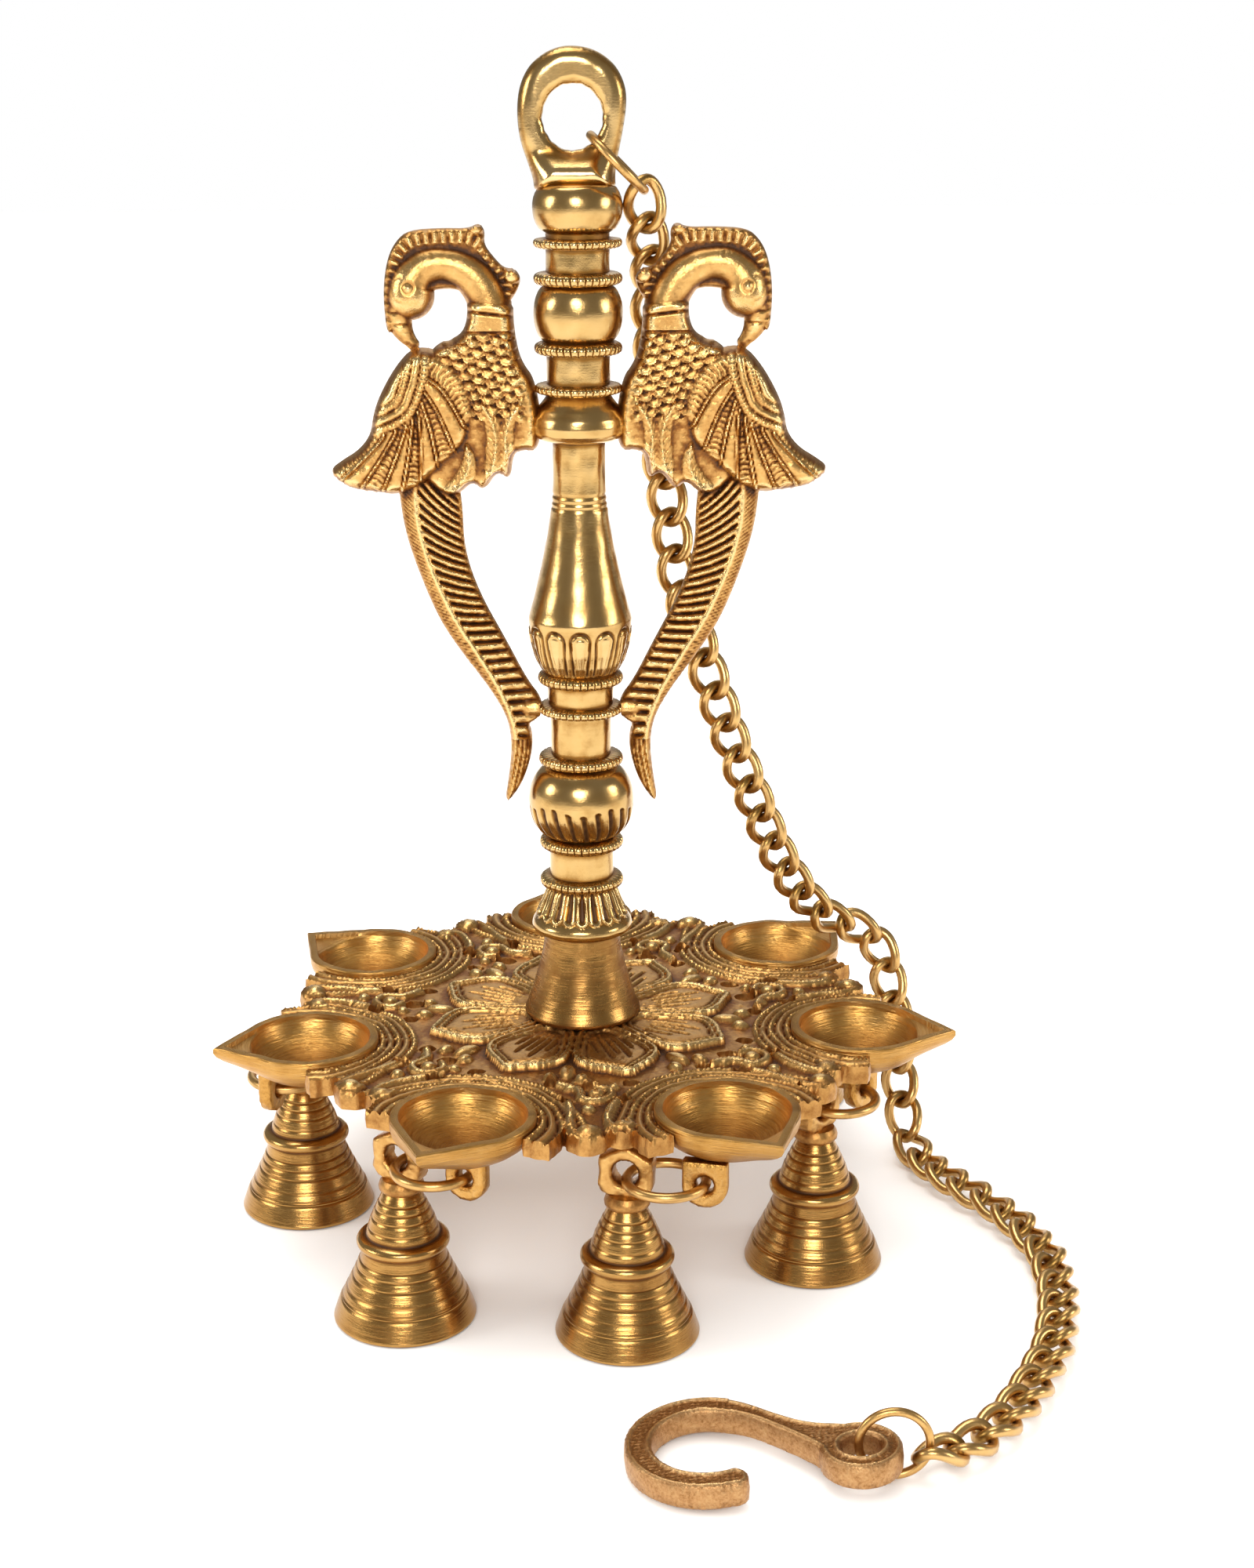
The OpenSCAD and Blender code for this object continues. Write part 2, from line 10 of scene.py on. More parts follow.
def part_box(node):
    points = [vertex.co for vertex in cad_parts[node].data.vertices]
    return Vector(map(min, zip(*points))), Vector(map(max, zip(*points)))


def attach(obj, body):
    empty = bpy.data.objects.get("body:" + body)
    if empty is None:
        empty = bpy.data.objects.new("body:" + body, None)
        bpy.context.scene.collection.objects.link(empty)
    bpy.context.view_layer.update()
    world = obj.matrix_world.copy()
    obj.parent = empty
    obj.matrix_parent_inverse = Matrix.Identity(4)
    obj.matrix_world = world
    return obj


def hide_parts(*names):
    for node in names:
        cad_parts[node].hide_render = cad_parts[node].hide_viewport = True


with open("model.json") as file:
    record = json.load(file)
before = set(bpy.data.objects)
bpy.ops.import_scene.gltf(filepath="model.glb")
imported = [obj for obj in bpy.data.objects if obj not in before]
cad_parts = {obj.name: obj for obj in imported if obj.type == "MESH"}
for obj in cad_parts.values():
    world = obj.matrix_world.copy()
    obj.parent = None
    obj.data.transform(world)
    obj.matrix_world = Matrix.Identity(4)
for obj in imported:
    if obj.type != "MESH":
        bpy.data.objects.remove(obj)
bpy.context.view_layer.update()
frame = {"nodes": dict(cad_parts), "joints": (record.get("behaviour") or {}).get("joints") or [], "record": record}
mm = 0.001
joints = {j["name"]: j for j in frame["joints"]}
openings = {o["name"]: o["box_m"] for o in frame["record"]["physics"]["openings"]}
print("frame loaded:", len(frame["nodes"]), "nodes")


def clearSelection():
    if bpy.context.object and bpy.context.object.mode != "OBJECT":
        bpy.ops.object.mode_set(mode="OBJECT")
    bpy.ops.object.select_all(action="DESELECT")


def activate(piece):
    clearSelection()
    piece.select_set(True)
    bpy.context.view_layer.objects.active = piece


def smoothShade(piece, angle=50):
    activate(piece)
    bpy.ops.object.shade_smooth_by_angle(angle=math.radians(angle))


def meshFrom(name, points, faces, reliefAndShade=None):
    # points in mm; the tone value is how far each point stands above or below its surroundings, -1 to 1; on some
    # pieces it holds painted shade instead: inside the bells, down the cups, at the ends of the foot cone and
    # where chain links meet
    mesh = bpy.data.meshes.new(name)
    mesh.from_pydata((np.asarray(points) * mm).tolist(), [], faces)
    piece = bpy.data.objects.new(name, mesh)
    bpy.context.scene.collection.objects.link(piece)
    if reliefAndShade is not None:
        setReliefAndShade(piece, reliefAndShade)
    return piece


def setReliefAndShade(piece, values):
    layer = piece.data.attributes.get("reliefAndShade") or piece.data.attributes.new("reliefAndShade", "FLOAT", "POINT")
    layer.data.foreach_set("value", np.asarray(values, np.float32))


def pointsOf(piece):
    flat = np.empty(len(piece.data.vertices) * 3)
    piece.data.vertices.foreach_get("co", flat)
    return flat.reshape(-1, 3) / mm


def movePoints(piece, points):
    piece.data.vertices.foreach_set("co", (np.asarray(points) * mm).ravel())
    piece.data.update()


def finish(piece, material, body, slot, *nodes):
    piece.data.materials.clear()
    piece.data.materials.append(material)
    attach(piece, body)
    if nodes:
        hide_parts(*nodes)


def ease(x, low, high):
    t = np.clip((x - low) / (high - low), 0, 1)
    return t * t * (3 - 2 * t)


def ridge(dist, width, height):
    return height * np.sqrt(np.clip(1 - (dist / width) ** 2, 0, 1))


def groove(dist, width, depth):
    return -depth * np.exp(-(dist / width) ** 2)


def waves(x, y, size, seed):
    # smooth wandering height of about -1 to 1, with features of the given size
    draw = np.random.default_rng(seed)
    total = np.zeros_like(x, dtype=float)
    for turn, phase, stretch in draw.random((9, 3)):
        way = turn * 2 * math.pi
        rate = 2 * math.pi / (size * (0.6 + 0.9 * stretch))
        total += np.sin((x * math.cos(way) + y * math.sin(way)) * rate + phase * 2 * math.pi)
    return total / 4


def curve(points, closed=False, rounds=3):
    # corners cut again and again give a smooth line
    line = np.array(points, float)
    for _ in range(rounds):
        after = np.roll(line, -1, 0) if closed else line[1:]
        before = line if closed else line[:-1]
        cut = np.stack([before * 0.75 + after * 0.25, before * 0.25 + after * 0.75], 1).reshape(-1, 2)
        line = cut if closed else np.vstack([line[:1], cut, line[-1:]])
    return line


def lineField(x, y, line):
    # distance to a line, the length run along it, and the side: positive to the left
    best = np.full(x.shape, 1e9)
    along = np.zeros(x.shape)
    side = np.zeros(x.shape)
    run = 0.0
    for a, b in zip(line[:-1], line[1:]):
        d = b - a
        length = math.hypot(d[0], d[1])
        t = np.clip(((x - a[0]) * d[0] + (y - a[1]) * d[1]) / length ** 2, 0, 1)
        dist = np.hypot(x - a[0] - t * d[0], y - a[1] - t * d[1])
        near = dist < best
        best = np.where(near, dist, best)
        along = np.where(near, run + t * length, along)
        side = np.where(near, np.sign(d[0] * (y - a[1]) - d[1] * (x - a[0])), side)
        run += length
    return best, along, side


def areaField(x, y, outline):
    # distance inside a closed outline, negative outside
    loop = np.vstack([outline, outline[:1]])
    dist = lineField(x, y, loop)[0]
    inside = np.zeros(x.shape, bool)
    for a, b in zip(loop[:-1], loop[1:]):
        if a[1] != b[1]:
            crosses = (a[1] > y) != (b[1] > y)
            inside ^= crosses & (x < (b[0] - a[0]) * (y - a[1]) / (b[1] - a[1]) + a[0])
    return np.where(inside, dist, -dist)


def blurred(field, mask, reach):
    # local average over the shape only
    weight = mask.astype(float)
    total = np.where(mask, field, 0)
    for _ in range(2):
        for axis in (0, 1):
            for step in (1, reach):
                total = total + np.roll(total, step, axis) + np.roll(total, -step, axis)
                weight = weight + np.roll(weight, step, axis) + np.roll(weight, -step, axis)
    return total / np.maximum(weight, 1e-6)


def reliefOf(field, mask, reach, scale):
    return np.clip((field - blurred(field, mask, reach)) / scale, -1, 1)


def reliefPiece(name, x, y, inside, front, place, back=None, floor=None, bulge=0.25, reach=3, scale=0.5):
    # a grid of heights cut to the outline where inside is zero; back gives a second face, floor a flat one
    pitch = x[1, 0] - x[0, 0]
    slopeX, slopeY = np.gradient(inside, pitch)
    size = np.maximum(np.hypot(slopeX, slopeY), 0.4)
    near = np.abs(inside) < 0.62 * pitch
    slide = np.where(near, np.clip(inside / size ** 2, -0.75 * pitch, 0.75 * pitch), 0)
    px = x - slide * slopeX
    py = y - slide * slopeY
    used = inside > -0.62 * pitch
    number = np.full(x.shape, -1)
    number[used] = np.arange(used.sum())
    corner = [number[:-1, :-1], number[1:, :-1], number[1:, 1:], number[:-1, 1:]]
    have = sum((c >= 0).astype(int) for c in corner)
    cells = np.stack([c[have == 4] for c in corner], -1)
    threes = np.stack([c[have == 3] for c in corner], -1)
    tris = threes[threes >= 0].reshape(-1, 3)
    edges = np.vstack([cells[:, [0, 1]], cells[:, [1, 2]], cells[:, [2, 3]], cells[:, [3, 0]],
                       tris[:, [0, 1]], tris[:, [1, 2]], tris[:, [2, 0]]])
    count = int(used.sum())
    rim = edges[~np.isin(edges[:, 0] * count + edges[:, 1], edges[:, 1] * count + edges[:, 0])]
    raised = (reliefOf(front, inside > 0, reach, scale) * ease(inside, 0, 1.6))[used]
    outX = (-slopeX / size)[used]
    outY = (-slopeY / size)[used]
    top = np.stack([px[used], py[used], front[used]], -1)
    faces = cells.tolist() + tris.tolist()
    under = np.full(count, float(floor)) if back is None else back[used]
    low = np.stack([px[used], py[used], under], -1)
    mid = (top + low) / 2 + np.stack([outX, outY, 0 * outX], -1) * bulge
    points = np.vstack([top, low, mid])
    if back is None:
        tint = np.concatenate([raised, np.zeros(count), np.full(count, -0.2)])
    else:
        tint = np.concatenate([raised, raised, np.zeros(count)])
        faces += (cells[:, ::-1] + count).tolist() + (tris[:, ::-1] + count).tolist()
    a, b = rim[:, 0], rim[:, 1]
    faces += np.stack([b, a, a + 2 * count, b + 2 * count], -1).tolist()
    faces += np.stack([b + 2 * count, a + 2 * count, a + count, b + count], -1).tolist()
    seen = np.unique(np.concatenate([np.ravel(f) for f in (cells, tris)]))
    keep = np.zeros(len(points), bool)
    keep[seen] = True
    if back is not None:
        keep[seen + count] = True
    keep[np.unique(rim) + count] = True
    keep[np.unique(rim) + 2 * count] = True
    renumber = np.cumsum(keep) - 1
    faces = [[int(renumber[i]) for i in face] for face in faces]
    placed = place(points[keep])
    piece = meshFrom(name, placed, faces, tint[keep])
    activate(piece)
    bpy.ops.object.mode_set(mode="EDIT")
    bpy.ops.mesh.select_all(action="DESELECT")
    if back is None:
        bpy.ops.mesh.select_mode(type="EDGE")
        bpy.ops.mesh.select_non_manifold(extend=False, use_wire=False, use_multi_face=False, use_verts=False)
        bpy.ops.mesh.fill(use_beauty=False)
    bpy.ops.mesh.select_all(action="SELECT")
    bpy.ops.mesh.normals_make_consistent(inside=False)
    bpy.ops.object.mode_set(mode="OBJECT")
    smoothShade(piece)
    return piece


def gridOver(low, high, pitch):
    across = np.arange(low[0], high[0] + pitch, pitch)
    up = np.arange(low[1], high[1] + pitch, pitch)
    return np.meshgrid(across, up, indexing="ij")


def spinPiece(name, profile, steps):
    # profile: (radius, height) points, turned round the Z axis
    mesh = bpy.data.meshes.new(name)
    points = [(r * mm, 0, z * mm) for r, z in profile]
    mesh.from_pydata(points, [(i, i + 1) for i in range(len(points) - 1)], [])
    piece = bpy.data.objects.new(name, mesh)
    bpy.context.scene.collection.objects.link(piece)
    activate(piece)
    bpy.ops.object.mode_set(mode="EDIT")
    bpy.ops.mesh.select_all(action="SELECT")
    bpy.ops.mesh.spin(steps=steps, angle=2 * math.pi, center=(0, 0, 0), axis=(0, 0, 1))
    bpy.ops.mesh.select_all(action="SELECT")
    bpy.ops.mesh.remove_doubles(threshold=0.004 * mm)
    bpy.ops.mesh.normals_make_consistent(inside=False)
    bpy.ops.object.mode_set(mode="OBJECT")
    return piece


def joined(name, pieces):
    activate(pieces[0])
    for other in pieces[1:]:
        other.select_set(True)
    bpy.ops.object.join()
    pieces[0].name = name
    return pieces[0]


def colour(text):
    parts = [int(text[i:i + 2], 16) / 255 for i in (1, 3, 5)]
    return [p / 12.92 if p <= 0.04045 else ((p + 0.055) / 1.055) ** 2.4 for p in parts] + [1]


def addNode(tree, kind, settings=(), links=()):
    item = tree.nodes.new("ShaderNode" + kind)
    for key, value in dict(settings).items():
        if isinstance(key, str) and hasattr(item, key):
            setattr(item, key, value)
        else:
            item.inputs[key].default_value = value
    for key, source in dict(links).items():
        tree.links.new(source, item.inputs[key])
    return item


def setRamp(item, stops):
    ramp = item.color_ramp
    while len(ramp.elements) < len(stops):
        ramp.elements.new(0.5)
    for element, (place, value) in zip(ramp.elements, stops):
        element.position = place
        element.color = colour(value) if isinstance(value, str) else (value, value, value, 1)


# What a user would change: colours from recess and painted shade to worn edge, how rough each is, and the marks on
# the metal
finishes = {
    # yellow brass, turned and buffed: clear soft reflections, brown lacquer left in the creases
    "polishedBrass": dict(stops=[(0.0, "#4E2F12"), (0.3, "#94682F"), (0.5, "#C29E63"), (1.0, "#DBBB84")],
                          rough=[(0.0, 0.5), (0.5, 0.2), (1.0, 0.17)], patches=0.42, patchSize=7,
                          lines=(60, 60, 1400), lineDepth=0.06, streak=0.05, grainSize=0.6, grainDepth=0.08),
    # cast brass, chased and buffed over the high places: brown satin ground, gold edges
    "castBrass": dict(stops=[(0.0, "#3E220C"), (0.25, "#835328"), (0.5, "#B98A4E"), (0.75, "#CBA060"),
                             (1.0, "#E2C084")],
                      rough=[(0.0, 0.55), (0.5, 0.34), (1.0, 0.24)], patches=0.45, patchSize=4,
                      lines=(400, 400, 400), lineDepth=0.0, streak=0.0, grainSize=0.7, grainDepth=0.3),
    # cup brass, turned inside and left satin: fine arcs across a soft gold glow
    "turnedBrass": dict(stops=[(0.0, "#5E3614"), (0.3, "#97662C"), (0.5, "#BE8E4A"), (1.0, "#D8B47A")],
                        rough=[(0.0, 0.5), (0.5, 0.33), (1.0, 0.3)], patches=0.35, patchSize=7,
                        lines=None, lineDepth=1.0, streak=0.35, grainSize=0.6, grainDepth=0.1),
    # bell metal, turned on a lathe and lacquered brown: soft bands and scored rings
    "bellBrass": dict(stops=[(0.0, "#3E2410"), (0.3, "#7A5026"), (0.5, "#AB8046"), (1.0, "#CFA868")],
                      rough=[(0.0, 0.5), (0.5, 0.25), (1.0, 0.2)], patches=0.45, patchSize=9,
                      lines=(80, 80, 1600), lineDepth=0.25, streak=0.22, grainSize=0.6, grainDepth=0.08),
    # drawn brass wire, dulled by handling
    "wireBrass": dict(stops=[(0.0, "#4A3418"), (0.35, "#8E6C36"), (0.5, "#CBA163"), (1.0, "#E4C68A")],
                      rough=[(0.0, 0.5), (0.5, 0.32), (1.0, 0.25)], patches=0.4, patchSize=5,
                      lines=(500, 500, 500), lineDepth=0.03, streak=0.0, grainSize=0.8, grainDepth=0.08),
    # brass bar as it left the machine
    "plainBrass": dict(stops=[(0.0, "#5A4018"), (0.4, "#A8834A"), (0.5, "#BE985C"), (1.0, "#D6B67C")],
                       rough=[(0.0, 0.45), (0.5, 0.32), (1.0, 0.25)], patches=0.3, patchSize=6,
                       lines=(80, 80, 1600), lineDepth=0.05, streak=0.05, grainSize=0.6, grainDepth=0.05),
    # hook brass, sand cast and left as cast: grainy pitted faces, handled smooth at the edges
    "pittedBrass": dict(stops=[(0.0, "#3E240E"), (0.3, "#875C30"), (0.5, "#B4885A"), (1.0, "#DDBB84")],
                        rough=[(0.0, 0.6), (0.5, 0.42), (1.0, 0.28)], patches=0.4, patchSize=3,
                        lines=(400, 400, 400), lineDepth=0.0, streak=0.0, grainSize=0.8, grainDepth=0.6),
}


def makeBrass(name, look):
    material = bpy.data.materials.new(name)
    material.use_nodes = True
    tree = material.node_tree
    tree.nodes.clear()
    place = addNode(tree, "TexCoord").outputs["Object"]
    reliefAndShade = addNode(tree, "Attribute", {"attribute_name": "reliefAndShade"}).outputs["Fac"]
    patch = addNode(tree, "TexNoise", {"Scale": 1 / (look["patchSize"] * mm), "Detail": 4, "Roughness": 0.6},
                    {"Vector": place}).outputs["Fac"]
    speck = addNode(tree, "TexNoise", {"Scale": 1 / (look["grainSize"] * mm), "Detail": 3, "Roughness": 0.65},
                    {"Vector": place}).outputs["Fac"]
    if look["lines"] is None:
        sweep = addNode(tree, "Attribute", {"attribute_name": "brush"}).outputs["Vector"]
    else:
        sweep = addNode(tree, "Mapping", {"Scale": look["lines"]}, {"Vector": place}).outputs[0]
    marks = addNode(tree, "TexNoise", {"Scale": 1, "Detail": 3, "Roughness": 0.6},
                    {"Vector": sweep}).outputs["Fac"]
    # relief and painted shade, -1..1, becomes 0..1, pushed about by patches, grain and tool marks
    level = addNode(tree, "Math", {"operation": "MULTIPLY_ADD", 1: 0.5, 2: 0.5}, {0: reliefAndShade}).outputs[0]
    for amount, source in ((look["patches"], patch), (look["grainDepth"], speck), (look["streak"], marks)):
        spread = {"operation": "MULTIPLY_ADD", 1: amount, 2: -amount / 2}
        drift = addNode(tree, "Math", spread, {0: source}).outputs[0]
        level = addNode(tree, "Math", {"operation": "ADD"}, {0: level, 1: drift}).outputs[0]
    tone = addNode(tree, "ValToRGB", {}, {"Fac": level})
    setRamp(tone, look["stops"])
    dull = addNode(tree, "ValToRGB", {}, {"Fac": level})
    setRamp(dull, look["rough"])
    metal = addNode(tree, "ValToRGB", {}, {"Fac": level})
    setRamp(metal, [(0.0, 0.55), (0.3, 1.0)])
    heights = addNode(tree, "Math", {"operation": "MULTIPLY", 1: look["lineDepth"]}, {0: marks}).outputs[0]
    grain = {"operation": "MULTIPLY_ADD", 1: look["grainDepth"]}
    heights = addNode(tree, "Math", grain, {0: speck, 2: heights}).outputs[0]
    bump = addNode(tree, "Bump", {"Strength": 1.0, "Distance": 0.35 * mm}, {"Height": heights}).outputs[0]
    shader = addNode(tree, "BsdfPrincipled", {}, {"Base Color": tone.outputs[0], "Roughness": dull.outputs[0],
                                                  "Metallic": metal.outputs[0], "Normal": bump})
    output = addNode(tree, "OutputMaterial", {}, {"Surface": shader.outputs[0]})
    output.is_active_output = True
    return material


brass = {name: makeBrass(name, look) for name, look in finishes.items()}
print("materials:", len(brass))


view = dict(place=(0, -660.6, 332.2), down=17.01, roll=-0.39, lens=55.83, shift=0.0292)
studio = dict(floorDrop=0.4, floorSize=9000, surround=0.3, fill=1.25, backdrop=1.0,
              # name, place, width and watts
              lamps=[("front", (-100, -1700, 950), 800, 17), ("left", (-1500, -300, 700), 700, 8),
                     ("right", (1600, -300, 600), 600, 6), ("top", (-200, 300, 1700), 1000, 12),
                     ("back", (0, 1600, 1150), 1400, 3.5)])


def makeCamera():
    data = bpy.data.cameras.new("camera")
    data.lens = view["lens"]
    data.sensor_width = 36
    data.shift_x = view["shift"]
    data.clip_start = 0.01
    camera = bpy.data.objects.new("camera", data)
    bpy.context.scene.collection.objects.link(camera)
    down = Matrix.Rotation(math.radians(90 - view["down"]), 4, "X")
    roll = Matrix.Rotation(math.radians(view["roll"]), 4, "Z")
    camera.matrix_world = Matrix.Translation([v * mm for v in view["place"]]) @ (down @ roll)
    bpy.context.scene.camera = camera


def makeStudio():
    scene = bpy.context.scene
    scene.view_settings.view_transform = "Standard"
    world = bpy.data.worlds.new("studio")
    world.use_nodes = True
    tree = world.node_tree
    tree.nodes.clear()
    path = addNode(tree, "LightPath")
    warm = {"Color": colour("#F4EFE8"), "Strength": studio["surround"]}
    room = addNode(tree, "Background", warm).outputs[0]
    fill = addNode(tree, "Background", {"Color": (1, 1, 1, 1), "Strength": studio["fill"]}).outputs[0]
    white = addNode(tree, "Background", {"Color": (1, 1, 1, 1), "Strength": studio["backdrop"]}).outputs[0]
    mixed = addNode(tree, "MixShader", {}, {0: path.outputs["Is Diffuse Ray"], 1: room, 2: fill}).outputs[0]
    mixed = addNode(tree, "MixShader", {}, {0: path.outputs["Is Camera Ray"], 1: mixed, 2: white}).outputs[0]
    addNode(tree, "OutputWorld", {}, {"Surface": mixed})
    scene.world = world
    for name, place, size, power in studio["lamps"]:
        data = bpy.data.lights.new(name, "AREA")
        data.shape = "DISK"
        data.size = size * mm
        data.energy = power
        lamp = bpy.data.objects.new(name, data)
        scene.collection.objects.link(lamp)
        lamp.location = [v * mm for v in place]
        direction = (np.array([0, 0, 130]) - np.array(place)) * mm
        lamp.rotation_euler = Vector(direction).to_track_quat("-Z", "Y").to_euler()
    clearSelection()
    bpy.ops.mesh.primitive_plane_add(size=studio["floorSize"] * mm,
                                     location=(0, 0, -studio["floorDrop"] * mm))
    floor = bpy.context.object
    floor.name = "floor"
    paint = bpy.data.materials.new("floorPaint")
    paint.use_nodes = True
    paint.node_tree.nodes["Principled BSDF"].inputs["Base Color"].default_value = colour("#F7F5F2")
    paint.node_tree.nodes["Principled BSDF"].inputs["Roughness"].default_value = 0.7
    floor.data.materials.append(paint)


makeCamera()
makeStudio()
print("camera and studio set")


chain = dict(wire=3.0, halfLength=6.8, halfWidth=4.4, twist=40, pitch=10.6, band=11.5,
             round=30, sides=9, sink=0.9,
             route=[(17.5, 0, 295.5), (18, 2, 288), (19, 7, 279), (20, 11.5, 271), (20, 14, 262),
                    (21, 15.5, 248), (22, 16, 230), (24, 16, 214), (26, 16, 199), (28, 16, 185),
                    (32, 16, 172), (36, 17, 160), (40, 18, 148), (44, 20, 136), (49, 22, 123),
                    (54, 25, 110), (60, 29, 96), (67, 33, 84), (76, 38, 75), (85, 42, 70), (92, 43, 63),
                    (95, 42, 52), (97, 40, 40), (98, 38, 28), (99, 35, 17), (100, 30, 8), (102, 23, 5.2),
                    (105, 13, 5.2), (111, 1, 5.2), (119, -12, 5.2), (126, -27, 5.2), (130, -44, 5.2),
                    (130, -62, 5.2), (127, -80, 5.2), (122, -97, 5.2), (115, -112, 5.2), (107, -126, 5.2),
                    (99, -136, 5.2), (91, -143, 5.4), (81.5, -149.5, 7.5)])


def makeChain():
    route = np.array(chain["route"], float)
    spans = np.linalg.norm(np.diff(route, axis=0), axis=1)
    run = np.concatenate([[0], np.cumsum(spans)])
    length = run[-1]
    links = round(length / chain["pitch"])
    pitch = length / links

    def at(s):
        return np.array([np.interp(s, run, route[:, axis]) for axis in range(3)])

    t = np.linspace(0, 2 * math.pi, chain["round"], endpoint=False)
    lap = np.linspace(0, 2 * math.pi, chain["sides"], endpoint=False)
    long = chain["halfLength"] * np.sign(np.cos(t)) * np.abs(np.cos(t)) ** 0.85
    wide = chain["halfWidth"] * np.sign(np.sin(t)) * np.abs(np.sin(t)) ** 0.85
    across = np.array([1.0, 0, 0])
    draw = np.random.default_rng(3)
    points, faces = [], []
    for k in range(links):
        here = at((k + 0.5) * pitch)
        way = at((k + 0.95) * pitch) - at((k + 0.05) * pitch)
        way /= np.linalg.norm(way)
        flat = here[2] < 12
        if flat:
            across = np.array([across[0], across[1], across[2] * 0.4])
        across = across - way * (across @ way)
        across /= np.linalg.norm(across)
        over = np.cross(way, across)
        here = here - np.array([0, 0, chain["sink"] * ease(12 - here[2], 0, 5)])
        lean = math.radians(draw.uniform(-5, 5))
        turn = np.radians(chain["twist"]) * long / chain["halfLength"] + lean
        core = (here + np.outer(long, way) + np.outer(wide * np.cos(turn), across)
                + np.outer(wide * np.sin(turn), over))
        tangent = np.roll(core, -1, 0) - np.roll(core, 1, 0)
        tangent /= np.linalg.norm(tangent, axis=1, keepdims=True)
        outward = core - here - np.outer((core - here) @ way * 0.55, way)
        outward -= tangent * np.sum(outward * tangent, 1, keepdims=True)
        outward /= np.linalg.norm(outward, axis=1, keepdims=True)
        third = np.cross(tangent, outward)
        ring = (core[:, None] + chain["wire"] / 2 * (np.cos(lap)[None, :, None] * outward[:, None]
                                                      + np.sin(lap)[None, :, None] * third[:, None]))
        start = len(points) * chain["round"] * chain["sides"]
        points.append(ring.reshape(-1, 3))
        for i in range(chain["round"]):
            j = (i + 1) % chain["round"]
            for m in range(chain["sides"]):
                n = (m + 1) % chain["sides"]
                faces.append((start + i * chain["sides"] + m, start + j * chain["sides"] + m,
                              start + j * chain["sides"] + n, start + i * chain["sides"] + n))
    stack = np.vstack(points)
    # painted shade: each link darker at its ends, where it meets the next link, and lighter along its sides
    linkEndShade = np.tile(np.repeat(np.abs(np.sin(t)) * 0.5 - 0.28, chain["sides"]), links)
    piece = meshFrom("curbChain", stack, faces, linkEndShade)
    activate(piece)
    bpy.ops.object.mode_set(mode="EDIT")
    bpy.ops.mesh.select_all(action="SELECT")
    bpy.ops.mesh.normals_make_consistent(inside=False)
    bpy.ops.object.mode_set(mode="OBJECT")
    bpy.ops.object.shade_smooth()
    finish(piece, brass["wireBrass"], "root", "wire_brass", "chain")
    path = [tuple(p * mm) for p in route]
    ends = [frame["nodes"][name] for name in ("chain_top_ring", "hook_ring", "hook")]
    return piece, path, length * mm, links, ends


pillar = dict(top=209.4, carved=[(0, 18), (24, 54), (64, 96), (122, 128), (141, 172), (181, 198)],
              steps=216, beads=36, beadDepth=0.55, fine=0.42, coarse=1.3,
              # (height above the skirt's lip, radius)
              line=[(0, 10.2), (0.4, 13.2), (1.2, 14.2), (2.2, 14.4), (3.4, 14.1), (4.6, 13.2), (9, 11.2),
                    (12.6, 9.8), (13.8, 9.2), (28.5, 9.0), (28.9, 8.7), (49.9, 8.6), (53.1, 8.4),
                    (64.8, 8.5), (68.0, 9.1), (76.7, 9.6), (77.1, 10.6), (80, 12.1), (83.7, 13.3),
                    (88, 14.15), (92.3, 14.4)],
              taper=(92.3, 130.3, 14.4, 7.2), neckTop=141.4,
              saucer=[(141.9, 10.2), (142.6, 11.6), (144, 12.6), (145.9, 12.9), (148, 12.5),
                      (150.4, 11.3), (152.8, 9.4), (154.0, 8.6), (209.4, 8.5)],
              rings=[(13.8, 3.2), (25.3, 3.2), (49.9, 3.2), (64.8, 2.8), (73.5, 3.2), (154.4, 2.6),
                     (164.9, 3.2), (183.3, 3.2), (192.9, 2.7)],
              balls=[(28.9, 49.5, 14.9), (168.3, 183.1, 12.0), (197.2, 209.5, 12.0)],
              score=[126.8, 125.0, 123.5], petals=12, flutes=22, skirt=20)


def pillarRadius(z):
    low, high, wide, thin = pillar["taper"]
    slope = [(low + (high - low) * k / 20, (thin * 2 + (wide - thin) * 2 * (1 - k / 20) ** 1.5) / 2)
             for k in range(1, 21)]
    line = pillar["line"] + slope + [(pillar["neckTop"], thin)] + pillar["saucer"]
    r = np.interp(z, [p[0] for p in line], [p[1] for p in line])
    for z0, z1, top in pillar["balls"]:
        half = (z1 - z0) / 2
        t = np.clip((z - z0 - half) / half, -1, 1)
        r = np.where((z > z0) & (z < z1), np.maximum(r, 8.6 + (top - 8.6) * np.sqrt(1 - t * t)), r)
    for z0, tall in pillar["rings"]:
        t = np.clip((z - z0 - tall / 2) / (tall / 2), -1, 1)
        r = np.where((z > z0) & (z < z0 + tall), 10.0 + 1.95 * np.sqrt(1 - t * t) ** 0.8, r)
    for at in pillar["score"]:
        r = r + groove(z - at, 0.4, 0.28)
    return r


